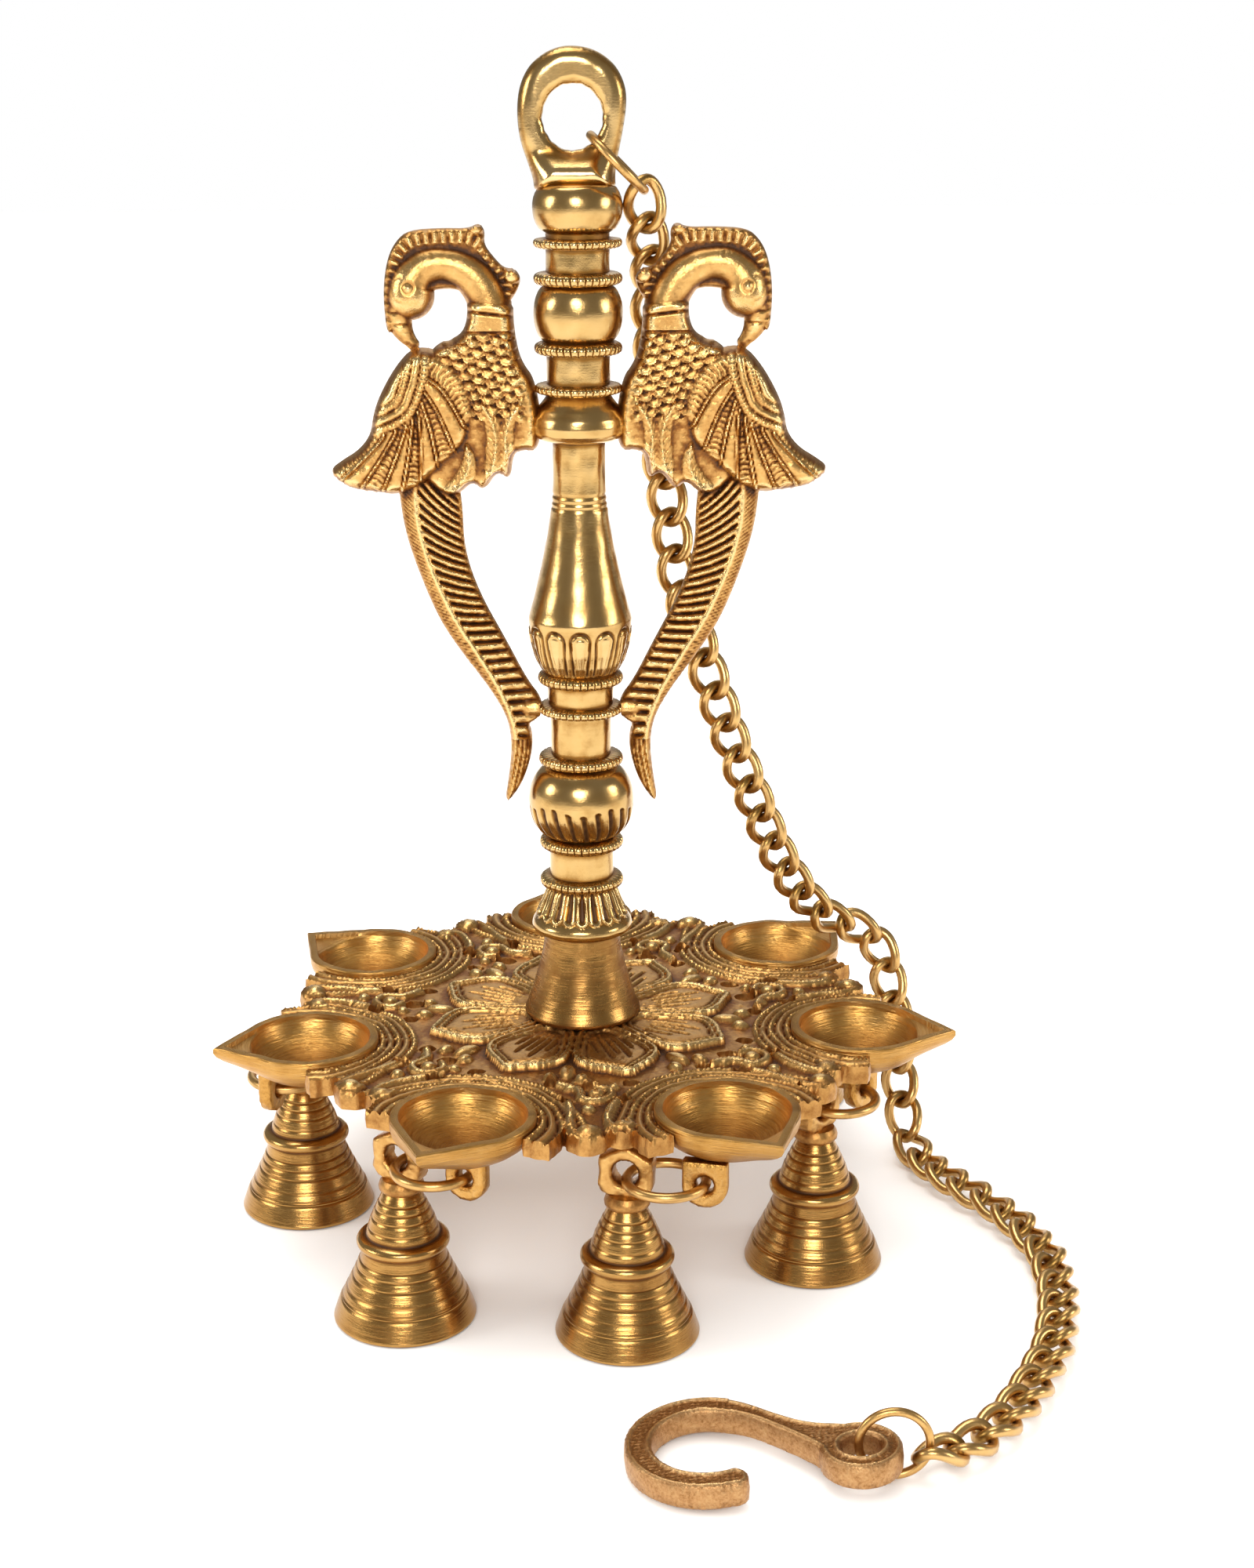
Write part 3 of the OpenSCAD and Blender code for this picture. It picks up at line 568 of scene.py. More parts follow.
def pillarRelief(turn, z, r):
    # what the chisel and the mould add to the turned shape
    extra = np.zeros_like(z)
    for k, (z0, tall) in enumerate(pillar["rings"]):
        inside = ease(z, z0, z0 + 0.5) * (1 - ease(z, z0 + tall - 0.5, z0 + tall))
        wobble = waves(turn * 12, z, 5, 20 + k)
        nick = np.exp(-(np.sin(turn * pillar["beads"] / 2) / 0.34) ** 2)
        extra += -pillar["beadDepth"] * (1 + 0.35 * wobble) * inside * nick
    # tongues round the swelling: a cut line with a round head and straight sides, and a second line inside
    pitch = 2 * math.pi / pillar["petals"]
    side = np.abs((turn + pitch / 2) % pitch - pitch / 2) * r
    head = np.hypot(side, np.maximum(z - 87.6, 0)) - 2.75
    tongue = np.where(z > 87.6, head, side - 2.75 * (0.62 + 0.38 * (z - 77) / 10.6))
    zone = ease(z, 77.2, 78.0) * (1 - ease(z, 91.5, 92.3))
    extra += zone * (groove(tongue, 0.42, 0.75) + groove(tongue + 1.15, 0.3, 0.28) + 0.25 * (tongue < 0))
    # slits with round heads under the vase ball
    pitch = 2 * math.pi / pillar["flutes"]
    side = np.abs((turn + 0.012 * (z - 29) + pitch / 2) % pitch - pitch / 2) * r
    top = 38.2 + 0.8 * np.sin(turn * 5)
    slit = np.where(z > top, np.hypot(side, z - top), side)
    extra += ease(z, 29.2, 30.4) * (1 - ease(z, top + 0.5, top + 1.1)) * groove(slit, 0.62, 1.05)
    # double-lined petals on the skirt, round ends down
    pitch = 2 * math.pi / pillar["skirt"]
    side = np.abs((turn + pitch / 2) % pitch - pitch / 2) * r
    end = np.where(z < 6.6, np.hypot(side, z - 6.6), side)
    end = end - 1.35 * np.where(z > 6.6, 1 - 0.35 * (z - 6.6) / 7, 1)
    zone = ease(z, 4.4, 5.0) * (1 - ease(z, 12.9, 13.7))
    extra += zone * (ridge(end, 0.42, 0.35) + groove(end - 0.75, 0.35, 0.35) - 0.75 * ease(-end, 0.3, 0.75))
    return extra + 0.05 * waves(turn * 11, z, 7, 5)


def makePillar():
    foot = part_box("stem")[0].z / mm
    rows = [0.0]
    while rows[-1] < pillar["top"]:
        fine = any(a - 0.5 <= rows[-1] < b for a, b in pillar["carved"])
        rows.append(rows[-1] + (pillar["fine"] if fine else pillar["coarse"]))
    rows = np.array(rows[:-1] + [pillar["top"]])
    plain = pillarRadius(rows)
    profile = [(0, 0.0)] + list(zip(plain, rows)) + [(0, pillar["top"])]
    piece = spinPiece("pillar", profile, pillar["steps"])
    p = pointsOf(piece)
    turn = np.arctan2(p[:, 1], p[:, 0])
    r = np.hypot(p[:, 0], p[:, 1])
    z = p[:, 2]
    body = r > 1
    extra = np.where(body, pillarRelief(turn, z, np.maximum(r, 1)), 0)
    grown = r + extra
    fineZ = np.arange(-4, 214, 0.2)
    fineR = pillarRadius(np.clip(fineZ, 0, pillar["top"]))
    window = np.ones(17) / 17
    level = np.interp(z, fineZ, fineR - np.convolve(fineR, window, "same"))
    around = 0.55 * np.clip(level / 1.0, -1, 1)
    setReliefAndShade(piece, np.clip(around + extra / 0.55, -1, 1))
    movePoints(piece, np.stack([grown * np.cos(turn), grown * np.sin(turn), z + foot], -1))
    smoothShade(piece, 60)
    return piece


eye = dict(middle=226.5, thick=3.5, pitch=0.42,
           outline=[(-1.3, 17.8), (2.4, 17.4), (6.2, 16.0), (10.2, 12.8), (12.6, 8.0), (13.0, 3.2),
                    (12.0, -3.4), (10.6, -10), (9.8, -14.5), (10.2, -19.5), (-11.2, -19.5), (-11.4, -16),
                    (-12.7, -12), (-15.0, -5.4), (-15.6, 1.9), (-14.8, 8.0), (-12.3, 12.9), (-8.4, 16.0),
                    (-4.6, 17.5)],
           hole=(8.1, 8.6))


def makeEye():
    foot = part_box("stem")[0].z / mm
    middle = foot + eye["middle"]
    x, z = gridOver((-17, -21), (15, 20), eye["pitch"])
    shape = areaField(x, z, curve(eye["outline"], closed=True))
    a, b = eye["hole"]
    hx, hz = x + 1.1, z
    wobble = 0.22 * waves(x, z, 3.2, 8)
    hole = (np.hypot(hx / a, hz / b) - 1) * (a + b) / 2 - wobble * 0.6
    inside = np.minimum(shape, hole)
    thick = eye["thick"] + 6.5 * ease(-z, 8, 17.5)
    reach = thick * 1.05 + 0.3
    outer = thick * np.sqrt(np.clip(1 - (1 - np.clip(shape / reach, 0, 1)) ** 2, 0.02, 1))
    bore = 1 - 0.32 * (1 - np.clip(hole / 2.0, 0, 1)) ** 2
    half = outer * bore + 0.05 * waves(x, z, 6, 4)
    return reliefPiece("hangingEye", x, z, inside, half,
                       lambda p: np.stack([p[:, 0], -p[:, 2], p[:, 1] + middle], -1),
                       back=-half, bulge=0.15, reach=4, scale=0.9)


bird = dict(pitch=0.36, foot=230.2, gap=1.0,
            body=[(-2.2, -4.6), (2.2, -4.6), (5.1, -5.4), (6, -13), (9.3, -10), (13.2, -15.9),
                  (16.2, -12.9), (20.2, -16.8), (24.9, -16.4), (30.8, -10.3), (30.3, 9.9), (27.8, 20.8),
                  (24.2, 24.5), (18.6, 26), (16.5, 30.5), (16.7, 36.9), (4.6, 36.3), (4.5, 28.5),
                  (3.3, 21.6), (1.7, 18), (-0.6, 15), (-2.4, 7)],
            wing=[(31.5, 23.2), (36.4, 17.9), (40.8, 10.3), (42.7, 5), (43.5, -0.3), (46.8, -4.5),
                  (51.5, -7.3), (55, -9.9), (52.5, -12.7), (49, -14.8), (43, -15.7), (37.5, -16.3),
                  (32.4, -15.5), (27.8, -12.1), (23.1, -8.3), (18, -3.3), (15.7, 1.8), (14.6, 6.8),
                  (15.5, 12.8), (19.3, 19.3), (25.4, 22.6)],
            crest=[(38.1, 26.3), (38.9, 33.6), (38.8, 40.4), (37.5, 47), (35.2, 51.2), (31.9, 53.9),
                   (23.3, 54.4), (15.9, 54.2), (13.3, 55.7), (11.8, 53.8), (12.2, 50.3), (9.8, 47),
                   (6.9, 43.9), (4.1, 43.7), (2.2, 41.3), (4, 36.9), (8, 32.4), (15.8, 37.4),
                   (21.7, 39.3), (29.6, 37.5), (35.7, 29.7)],
            crestLine=[(38, 27.7), (38, 37.5), (36.6, 45.8), (32.3, 51.6), (23.3, 52.5), (14.3, 52.2),
                       (10.3, 47), (5.7, 41.8), (6.5, 36.3)],
            neck=[(10.6, 34.4), (12.3, 38.7), (15.7, 42.8), (21.9, 45.5), (27.8, 44.8), (31.6, 41),
                  (31.9, 36.9)],
            neckWide=[(0, 5.6), (8, 5.2), (17, 4.6), (24, 5.0), (30, 6.2), (36, 6.5)],
            beak=[(33.9, 35.5), (35.4, 31.2), (34, 27.1), (31.5, 24.1)],
            beakWide=[(0, 4.2), (6, 3.2), (12, 1.5)],
            hole=(22.8, 30.2, 4.3, 5.6),
            shoulder=[(26.3, 25), (27.4, 16), (28.9, 11.3), (30.8, 6.2), (35.4, 2.4), (44.2, -0.6)],
            feathers=[[(41, 0.2), (46.5, -4.6), (54.6, -11)], [(37.5, 1.2), (42, -5), (49.6, -13.4)],
                      [(34.5, 2.6), (37.8, -4.5), (43.2, -14.4)], [(32.4, 4.4), (34.2, -4), (37.6, -15)],
                      [(30.9, 6.4), (31.2, -2), (32.4, -14)], [(30, 8.8), (28.4, 1), (27.6, -11)],
                      [(29.2, 11.2), (25.8, 4), (22.8, -7)], [(28.6, 14), (23.8, 8.4), (18.8, -2)],
                      [(27.6, 17.8), (21.6, 15.4), (16.2, 5)]],
            tail=[(36, -12.2), (36.2, -16.3), (35, -26.1), (32.3, -35.7), (26.7, -50.5), (21.1, -59.7),
                  (12.5, -71.3), (7.7, -79.6), (6.3, -87.5), (7.2, -96.4), (8.8, -106), (4.5, -100.6),
                  (2, -94.3), (0.8, -88.7), (1, -83.8), (2, -82), (-1.9, -79.6), (-1.9, -74.6),
                  (2.1, -69.4), (7.4, -58.7), (15.2, -44.1), (19, -31.8), (19.2, -20.5), (20.2, -12.4)],
            tailRidge=[(31.6, -10.2), (31.7, -21.5), (29.7, -31.6), (26.4, -40.9), (21.3, -51.9),
                       (14.9, -61.9), (10.1, -70), (6.3, -79), (5, -86.4), (6.1, -93.6), (8.4, -102.9)])


def tubeHeight(x, y, line, widths):
    dist, along, _ = lineField(x, y, curve(line))
    wide = np.interp(along, [w[0] for w in widths], [w[1] for w in widths])
    return np.sqrt(np.clip(wide ** 2 - dist ** 2, 0, None)), wide - dist


def scales(x, y, size):
    # rows of overlapping round scales, tips down, each row lying over the one below
    total = np.full(x.shape, -1.0)
    row = np.floor(y / (size * 0.58))
    reach = size * 0.56
    for k in (2, 1, 0, -1):
        middle = (row + k) * size * 0.58
        shift = np.where((row + k) % 2 == 0, 0, size / 2)
        offset = x - np.round((x - shift) / size) * size - shift
        dist = np.hypot(offset, y - middle)
        rise = 0.35 + 0.65 * np.clip((middle - y) / reach, 0, 1) + groove(dist - size * 0.42, 0.22, 0.25)
        rise = rise * (1 - 0.7 * ease(dist, size * 0.5, reach))
        total = np.where((total < 0) & (dist < reach) & (y < middle + 0.2), rise, total)
    return np.maximum(total, 0)


def dome(dist, reach, high):
    return high * np.sqrt(np.clip(1 - (1 - np.clip(dist / reach, 0, 1)) ** 2, 0, 1))


def crestHeight(u, v, crest):
    # a flat ribbed band with a bead along its inner edge and two knobs
    dist, along, _ = lineField(u, v, curve(bird["crestLine"]))
    hCrest = dome(crest, 0.9, 1.9)
    band = 1 - ease(dist, 1.4, 2.0)
    hCrest = hCrest + band * (0.45 + 0.42 * np.cos(along * 2 * math.pi / 2.3)) * (crest > 0)
    for ku, kv, kr in ((14.0, 54.6, 2.1), (4.6, 42.2, 2.4)):
        knob = np.sqrt(np.clip(kr ** 2 - (u - ku) ** 2 - (v - kv) ** 2, 0, None))
        hCrest = np.maximum(hCrest, knob + 1.6 * (np.hypot(u - ku, v - kv) < kr))
    return np.where(crest > 0, hCrest, 0)


def neckHeight(u, v):
    # smooth arched neck and head with the eye cut in, then the beak
    hNeck, dNeck = tubeHeight(u, v, bird["neck"], bird["neckWide"])
    eyeDist = np.hypot(u - 32.2, v - 39.4)
    hNeck = hNeck + (dNeck > 1.2) * (groove(eyeDist - 1.5, 0.32, 0.35) + ridge(eyeDist, 0.8, 0.3)
                                     + groove(np.hypot(u - 33.6, v - 39.0) - 3.3, 0.3, 0.22) * (u > 34)
                                     + groove(np.hypot(u - 28.0, v - 46.8) - 2.2, 0.28, 0.2) * (v > 46.8))
    hBeak, dBeak = tubeHeight(u, v, bird["beak"], bird["beakWide"])
    hBeak = np.where(dBeak > 0, hBeak + groove(v - 32.6, 0.35, 0.5) + groove(v - 29.4, 0.3, 0.35), 0)
    return hNeck, dNeck, hBeak, dBeak


def breastHeight(u, v, body):
    # breast scales, two collars, and the leaves under the wing
    hBody = dome(body, 2.6, 5.0)
    zone = ease(v, 2, 5) * (1 - ease(v, 27.0, 27.8)) * ease(u, 0.5, 3)
    hBody = hBody + zone * 1.25 * scales(u * 0.96 + v * 0.28, v * 0.96 - u * 0.28, 3.9) * (body > 0)
    collar = (v > 27.6) & (v < 37.2) & (u > 3.4) & (u < 17.4)
    lift = ease(v, 27.5, 28.0) * (1 - ease(v, 36.8, 37.3)) * collar
    slant = v - 0.12 * u
    hBody = hBody + lift * (0.9 + groove(slant - 31.2, 0.35, 0.8) + groove(slant - 34.0, 0.3, 0.4))
    leaves = [([(13.4, 9), (9.4, 2), (9.6, -6), (12.3, -15.2)], 3.0),
              ([(2.4, 9), (6.6, 3), (7.0, -4), (5.3, -12.3)], 2.5),
              ([(17.5, -2), (16.4, -8), (19.5, -14), (24, -18)], 3.0)]
    for line, wide in leaves:
        dist, along, _ = lineField(u, v, curve(line))
        shape = wide * np.sin(np.clip(along / 26, 0, 1) * math.pi) ** 0.6 - dist
        leaf = 0.9 * ease(shape, 0, 0.7) - 0.35 * ease(dist, 0, wide) + ridge(dist, 0.45, 0.4)
        leaf = leaf + groove((along * 0.8 + dist * 1.1) % 1.5 - 0.75, 0.28, 0.22)
        hBody = np.where((shape > 0) & (body > 0), np.maximum(hBody, 5.0 * ease(body, 0, 1.6) + leaf), hBody)
    return hBody


def wingHeight(u, v, wing):
    # curved bands over the shoulder, then feathers fanning out of it, every other one combed
    crown = dome(wing, 2.6, 6.0) + 1.1 * ease(wing, 0, 9)
    dist, along, side = lineField(u, v, curve(bird["shoulder"]))
    lane = dist % 2.3
    rope = np.floor(dist / 2.3) % 2 == 0
    teeth = 1 + 0.22 * np.cos(along * 2 * math.pi / 1.25)
    bands = ridge(lane - 1.15, 1.1, 0.85) * np.where(rope, 0.8 * teeth, 1.0) - 0.1
    near = np.full(u.shape, 1e9)
    second = np.full(u.shape, 1e9)
    number = np.zeros(u.shape)
    run = np.zeros(u.shape)
    for k, line in enumerate(bird["feathers"]):
        d, a, _ = lineField(u, v, curve(line, rounds=2))
        closer = d < near
        second = np.where(closer, near, np.minimum(second, d))
        number = np.where(closer, k, number)
        run = np.where(closer, a, run)
        near = np.where(closer, d, near)
    margin = second - near
    feather = (ridge(margin, 0.75, 0.55) * (1 + 0.25 * np.cos(run * 2 * math.pi / 0.9))
               + groove(margin - 1.15, 0.34, 0.5))
    comb = groove((run - 0.25 * near) % 1.5 - 0.75, 0.27, 0.42) * (margin > 1.3)
    feather = feather + np.where(number % 2 == 0, comb, 0.28 * (1 - np.clip(near / 2.4, 0, 1) ** 2)) + 0.15
    return np.where(wing > 0, crown + np.where(side < 0, feather, bands) * ease(wing, 0.2, 1.0), 0)


def tailHeight(u, v, tail):
    # a ridge with a broad barbed face inside and a narrow notched face outside
    dist, along, side = lineField(u, v, curve(bird["tailRidge"]))
    broad = side < 0
    hTail = 1.4 + 2.8 * (1 - np.clip(dist / np.where(broad, 12.5, 5.0), 0, 1)) + ridge(dist, 0.55, 0.35)
    barb = (along - dist * np.interp(along, [0, 25, 55, 90], [1.35, 1.1, 0.6, 0.1])) % 3.3
    hTail = hTail + np.where(broad & (dist > 0.8), groove(barb - 1.0, 0.55, 1.5)
                             + 0.3 * np.sin(barb / 3.3 * math.pi), 0)
    notch = (along + dist * 0.9) % 1.15
    hTail = hTail + np.where(~broad & (dist > 0.7), groove(notch - 0.57, 0.2, 0.35), 0)
    strands = np.where(v < -86, groove((dist * 1.0) % 1.3 - 0.65, 0.3, 0.55), 0)
    hTail = np.where(v < -86, 3.2 - 0.25 * dist + strands, hTail) * np.sqrt(ease(tail, -0.3, 0.8))
    lug = 3.6 * np.sqrt(np.clip(1 - (v + 77.2) ** 2 / 10 - (u - 0.5) ** 2 / 40, 0, 1))
    return np.where(tail > 0, np.maximum(hTail, lug), 0)


def birdHeight(u, v):
    body, wing, crest, tail = (areaField(u, v, curve(bird[name], closed=True, rounds=2))
                               for name in ("body", "wing", "crest", "tail"))
    hu, hv, ha, hb = bird["hole"]
    hole = (np.hypot((u - hu) / ha, (v - hv) / hb) - 1) * (ha + hb) / 2
    hNeck, dNeck, hBeak, dBeak = neckHeight(u, v)
    whole = np.maximum.reduce([body, wing, np.where(crest > 0, crest, -9), tail, dNeck, dBeak, crest])
    inside = np.minimum(whole, hole)
    high = np.maximum.reduce([crestHeight(u, v, crest), np.where(dNeck > 0, hNeck, 0), hBeak,
                              breastHeight(u, v, body) * (body > 0), wingHeight(u, v, wing),
                              tailHeight(u, v, tail)])
    rimHole = ease(hole, 0, 1.6)
    high = high * (0.55 + 0.45 * rimHole)
    skin = 0.09 * waves(u, v, 2.4, 12) + 0.05 * waves(u, v, 1.1, 13)
    high = np.maximum(high, 1.0) + skin * np.where(dNeck > 0, 0.25, 1)
    return inside, np.where(inside > 0, np.maximum(high, 0.9), 0.9)


def makeBird(name, side, node):
    low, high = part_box(node)
    off = min(abs(low.x), abs(high.x)) / mm + bird["gap"]
    u, v = gridOver((-3, -107), (57, 58), bird["pitch"])
    inside, high = birdHeight(u, v)
    piece = reliefPiece(name, u, v, inside, high,
                        lambda p: np.stack([side * (p[:, 0] + off), -p[:, 2], p[:, 1] + bird["foot"]], -1),
                        back=-high, bulge=0.2, reach=3, scale=0.5)
    finish(piece, brass["castBrass"], "root", "cast_brass", node)


plate = dict(rise=1.9, pitch=0.55, petals=8, petalTurn=16.5, turn=2.5, cupAt=80.5, cupRound=39,
             gap=0.15, strand=2.2, strands=5,
             petal=[(13, 5.0), (22, 9.0), (28, 11.5), (33, 12.5), (37, 11.2), (40.5, 8.0), (43, 4.2),
                    (46.6, 0), (43, -4.2), (40.5, -8.0), (37, -11.2), (33, -12.5), (28, -11.5),
                    (22, -9.0), (13, -5.0)],
             veins=[(-7.2, 26), (-4.6, 31), (-2.1, 35.5), (0.4, 33), (2.9, 36.5), (5.2, 31), (7.6, 27)],
             holes=[(50.5, 0, 2.9), (60.5, 7.8, 2.3), (49.0, 11.0, 2.3)],
             domes=[(57.8, 1.0, 2.6), (82.0, -2.6, 3.4), (78.2, 6.6, 2.7), (52.6, 6.0, 1.8),
                    (53.2, -6.4, 1.7), (66.5, -1.6, 2.0)],
             scrolls=[[(51, -8.6), (54.6, -3.0), (60.6, -3.6), (62.6, 1.2), (60, 5.0), (55.2, 5.2),
                       (53.6, 1.6)],
                      [(60, -7.4), (66, -6.4), (72, -6.6), (78, -7.0), (83.6, -6.0),
                       (85.4, -2.2), (82.6, 0.8), (79.4, -0.6)],
                      [(60, 7.6), (66, 4.4), (71.6, 3.2), (77.4, 3.0), (80.8, 6.2), (78.6, 9.6),
                       (75.6, 8.4)]])


def plateHeight(x, y):
    r = np.hypot(x, y)
    angle = np.degrees(np.arctan2(y, x))
    step = 360 / 7
    cupAngle = (angle - plate["turn"] + 90) % step - step / 2
    px, py = r * np.cos(np.radians(cupAngle)), np.abs(r * np.sin(np.radians(cupAngle)))
    gapAngle = (angle - plate["turn"] + 90 + step / 2) % step - step / 2
    gx, gy = r * np.cos(np.radians(gapAngle)), r * np.sin(np.radians(gapAngle))
    dPan = np.hypot(px - plate["cupAt"], py) - plate["cupRound"] / 2
    lap = np.arctan2(py, plate["cupAt"] - px) * 22

    # outline: a disc, knobbed lobes in each gap, and a cuff round the inner half of each cup
    lobe = np.maximum.reduce([5.6 - np.hypot(gx - 80.4, gy + 2.6), 4.9 - np.hypot(gx - 77.4, gy - 6.8),
                              12.5 - np.hypot(gx - 66, gy), 5.4 - np.hypot(gx - 73, gy + 9.2)])
    cuff = np.minimum(6.5 - np.abs(dPan - 1), (plate["cupAt"] + 4.5) - px)
    outline = np.maximum.reduce([69.5 - r, lobe, cuff]) + 0.35 * waves(x, y, 5, 30)
    holes = np.full(x.shape, 99.0)
    for hx, hy, hr in plate["holes"]:
        holes = np.minimum(holes, np.hypot((gx - hx) * 0.92, np.abs(gy) - hy) - hr + 0.5 * waves(x, y, 6, 34))
    inside = np.minimum(np.minimum(outline, dPan - plate["gap"]), holes)

    high = -0.55 + 0.3 * waves(x, y, 4, 31)
    # strands wrap each cup and spread out into the gaps, every other one notched
    warp = dPan * (1 - 0.28 * ease(gx, 64, 84)) + 0.25 * waves(x, y, 14, 35)
    lane = np.floor((warp - 0.2) / plate["strand"])
    across = (warp - 0.2) % plate["strand"] - plate["strand"] / 2
    notch = np.where(lane % 2 == 0, 0.17 * np.cos(lap * 2 * math.pi / 1.05), 0)
    strand = ridge(across, plate["strand"] / 2, 1.75) * (1 + notch) - 0.55
    wrapped = warp < plate["strand"] * plate["strands"] + 0.2
    high = np.where(wrapped, np.maximum(high, strand - 0.08 * lane), high)
    for line in plate["scrolls"]:
        dist, along, _ = lineField(gx, gy, curve(line))
        high = np.maximum(high, ridge(dist, 1.5, 2.1) * (1 + 0.1 * np.cos(along * 2 * math.pi / 1.2)) - 0.5
                          + groove(dist - 1.9, 0.4, 0.5) * (dist < 3))
    for bx, by, br in plate["domes"]:
        d = np.hypot(gx - bx, gy - by)
        high = np.maximum(high, np.sqrt(np.clip(br ** 2 - d ** 2, 0, None)) * 0.9 - 0.3)
    # buds between the petal tips
    pitch = 360 / plate["petals"]
    budAngle = (angle - plate["petalTurn"]) % pitch - pitch / 2
    bu, bv = r * np.cos(np.radians(budAngle)), r * np.sin(np.radians(budAngle))
    for cu, cv, long, wide in ((42.2, 0, 4.6, 2.4), (46.2, 4.4, 2.6, 2.0), (46.2, -4.4, 2.6, 2.0)):
        d = np.hypot((bu - cu) / long, (bv - cv) / wide)
        high = np.maximum(high, 1.9 * np.sqrt(np.clip(1 - d ** 2, 0, 1)) - 0.4)
    # lotus: each petal has a notched edge, an inner line, and veins cut fanwise into a flat leaf
    petalAngle = (angle - plate["petalTurn"] + pitch / 2) % pitch - pitch / 2
    lx, ly = r * np.cos(np.radians(petalAngle)), r * np.sin(np.radians(petalAngle))
    petal = areaField(lx, ly, curve(plate["petal"], closed=True, rounds=2))
    leaf = 1.25 + 0.22 * ease(petal, 3.6, 6.5)
    for end, reach in plate["veins"]:
        line = np.array([(15, end * 0.42), ((15 + reach) / 2, end * 0.86), (reach, end)])
        dist, along, _ = lineField(lx, ly, line)
        span = np.clip(along / (reach - 14.5), 0, 1)
        leaf = leaf + groove(dist, 0.2 + 0.45 * np.sin(span * math.pi) ** 0.7, 0.95)
    edge = ridge(petal - 0.95, 1.0, 1.0) * (1 + 0.14 * np.cos(lx * 2 * math.pi / 0.95)) + 0.95
    line = ridge(petal - 2.75, 0.8, 0.75) + 1.0
    flower = np.where(petal < 1.9, edge, np.where(petal < 3.5, line, leaf))
    flower = flower + groove(petal - 1.9, 0.22, 0.55) + groove(petal - 3.6, 0.26, 0.7)
    high = np.where(petal > 0, flower, high)
    high = np.where(r < 22, np.maximum(high, 0.9), high)
    high = high + 0.07 * waves(x, y, 2.2, 32) + 0.05 * waves(x, y, 1.2, 33)
    return inside, high


def makePlate():
    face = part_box("plate")[1].z / mm - plate["rise"]
    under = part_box("plate")[0].z / mm
    x, y = gridOver((-92, -92), (92, 92), plate["pitch"])
    inside, high = plateHeight(x, y)
    piece = reliefPiece("lotusPlate", x, y, inside, high + face, lambda p: p, floor=under,
                        bulge=0.3, reach=3, scale=0.95)
    finish(piece, brass["castBrass"], "root", "cast_brass", "plate")


cup = dict(steps=144, outer=19.5, inner=17.2, spout=27.5, depth=9.8, lugThick=4.4, lugWide=12, lugBore=5,
           # outside rows: radius, depth below the rim, how much of the spout they follow
           wall=[(19.15, 0, 1), (19.45, 0.35, 1), (19.5, 1.6, 1), (19.4, 3.0, 0.96), (19.0, 4.4, 0.88),
                 (18.2, 5.7, 0.78), (16.9, 7.0, 0.66), (15.2, 8.3, 0.5), (13.2, 9.5, 0.34),
                 (11.2, 10.5, 0.2), (9.2, 11.3, 0.08), (7.8, 11.8, 0), (6.6, 12.0, 0)],
           # inside rows: radius and share; the first five cross the spout's flat
           bowl=[(17.2, 1), (17.0, 0.99), (16.9, 0.8), (16.8, 0.6), (16.7, 0.4), (16.6, 0.2), (16.5, 0),
                 (16.2, 0), (15.8, 0), (15.3, 0), (14.7, 0), (14.0, 0), (13.2, 0), (12.3, 0), (11.3, 0),
                 (10.2, 0), (9.0, 0), (7.5, 0), (6.0, 0), (4.5, 0), (3.0, 0), (1.5, 0)])


def cupSpread(r, share, turn):
    # a circle of radius r drawn out to a spout, as much as share says
    side = math.acos(cup["outer"] / cup["spout"]) * share
    return r / np.cos(np.clip(side - np.abs(turn), 0, None))


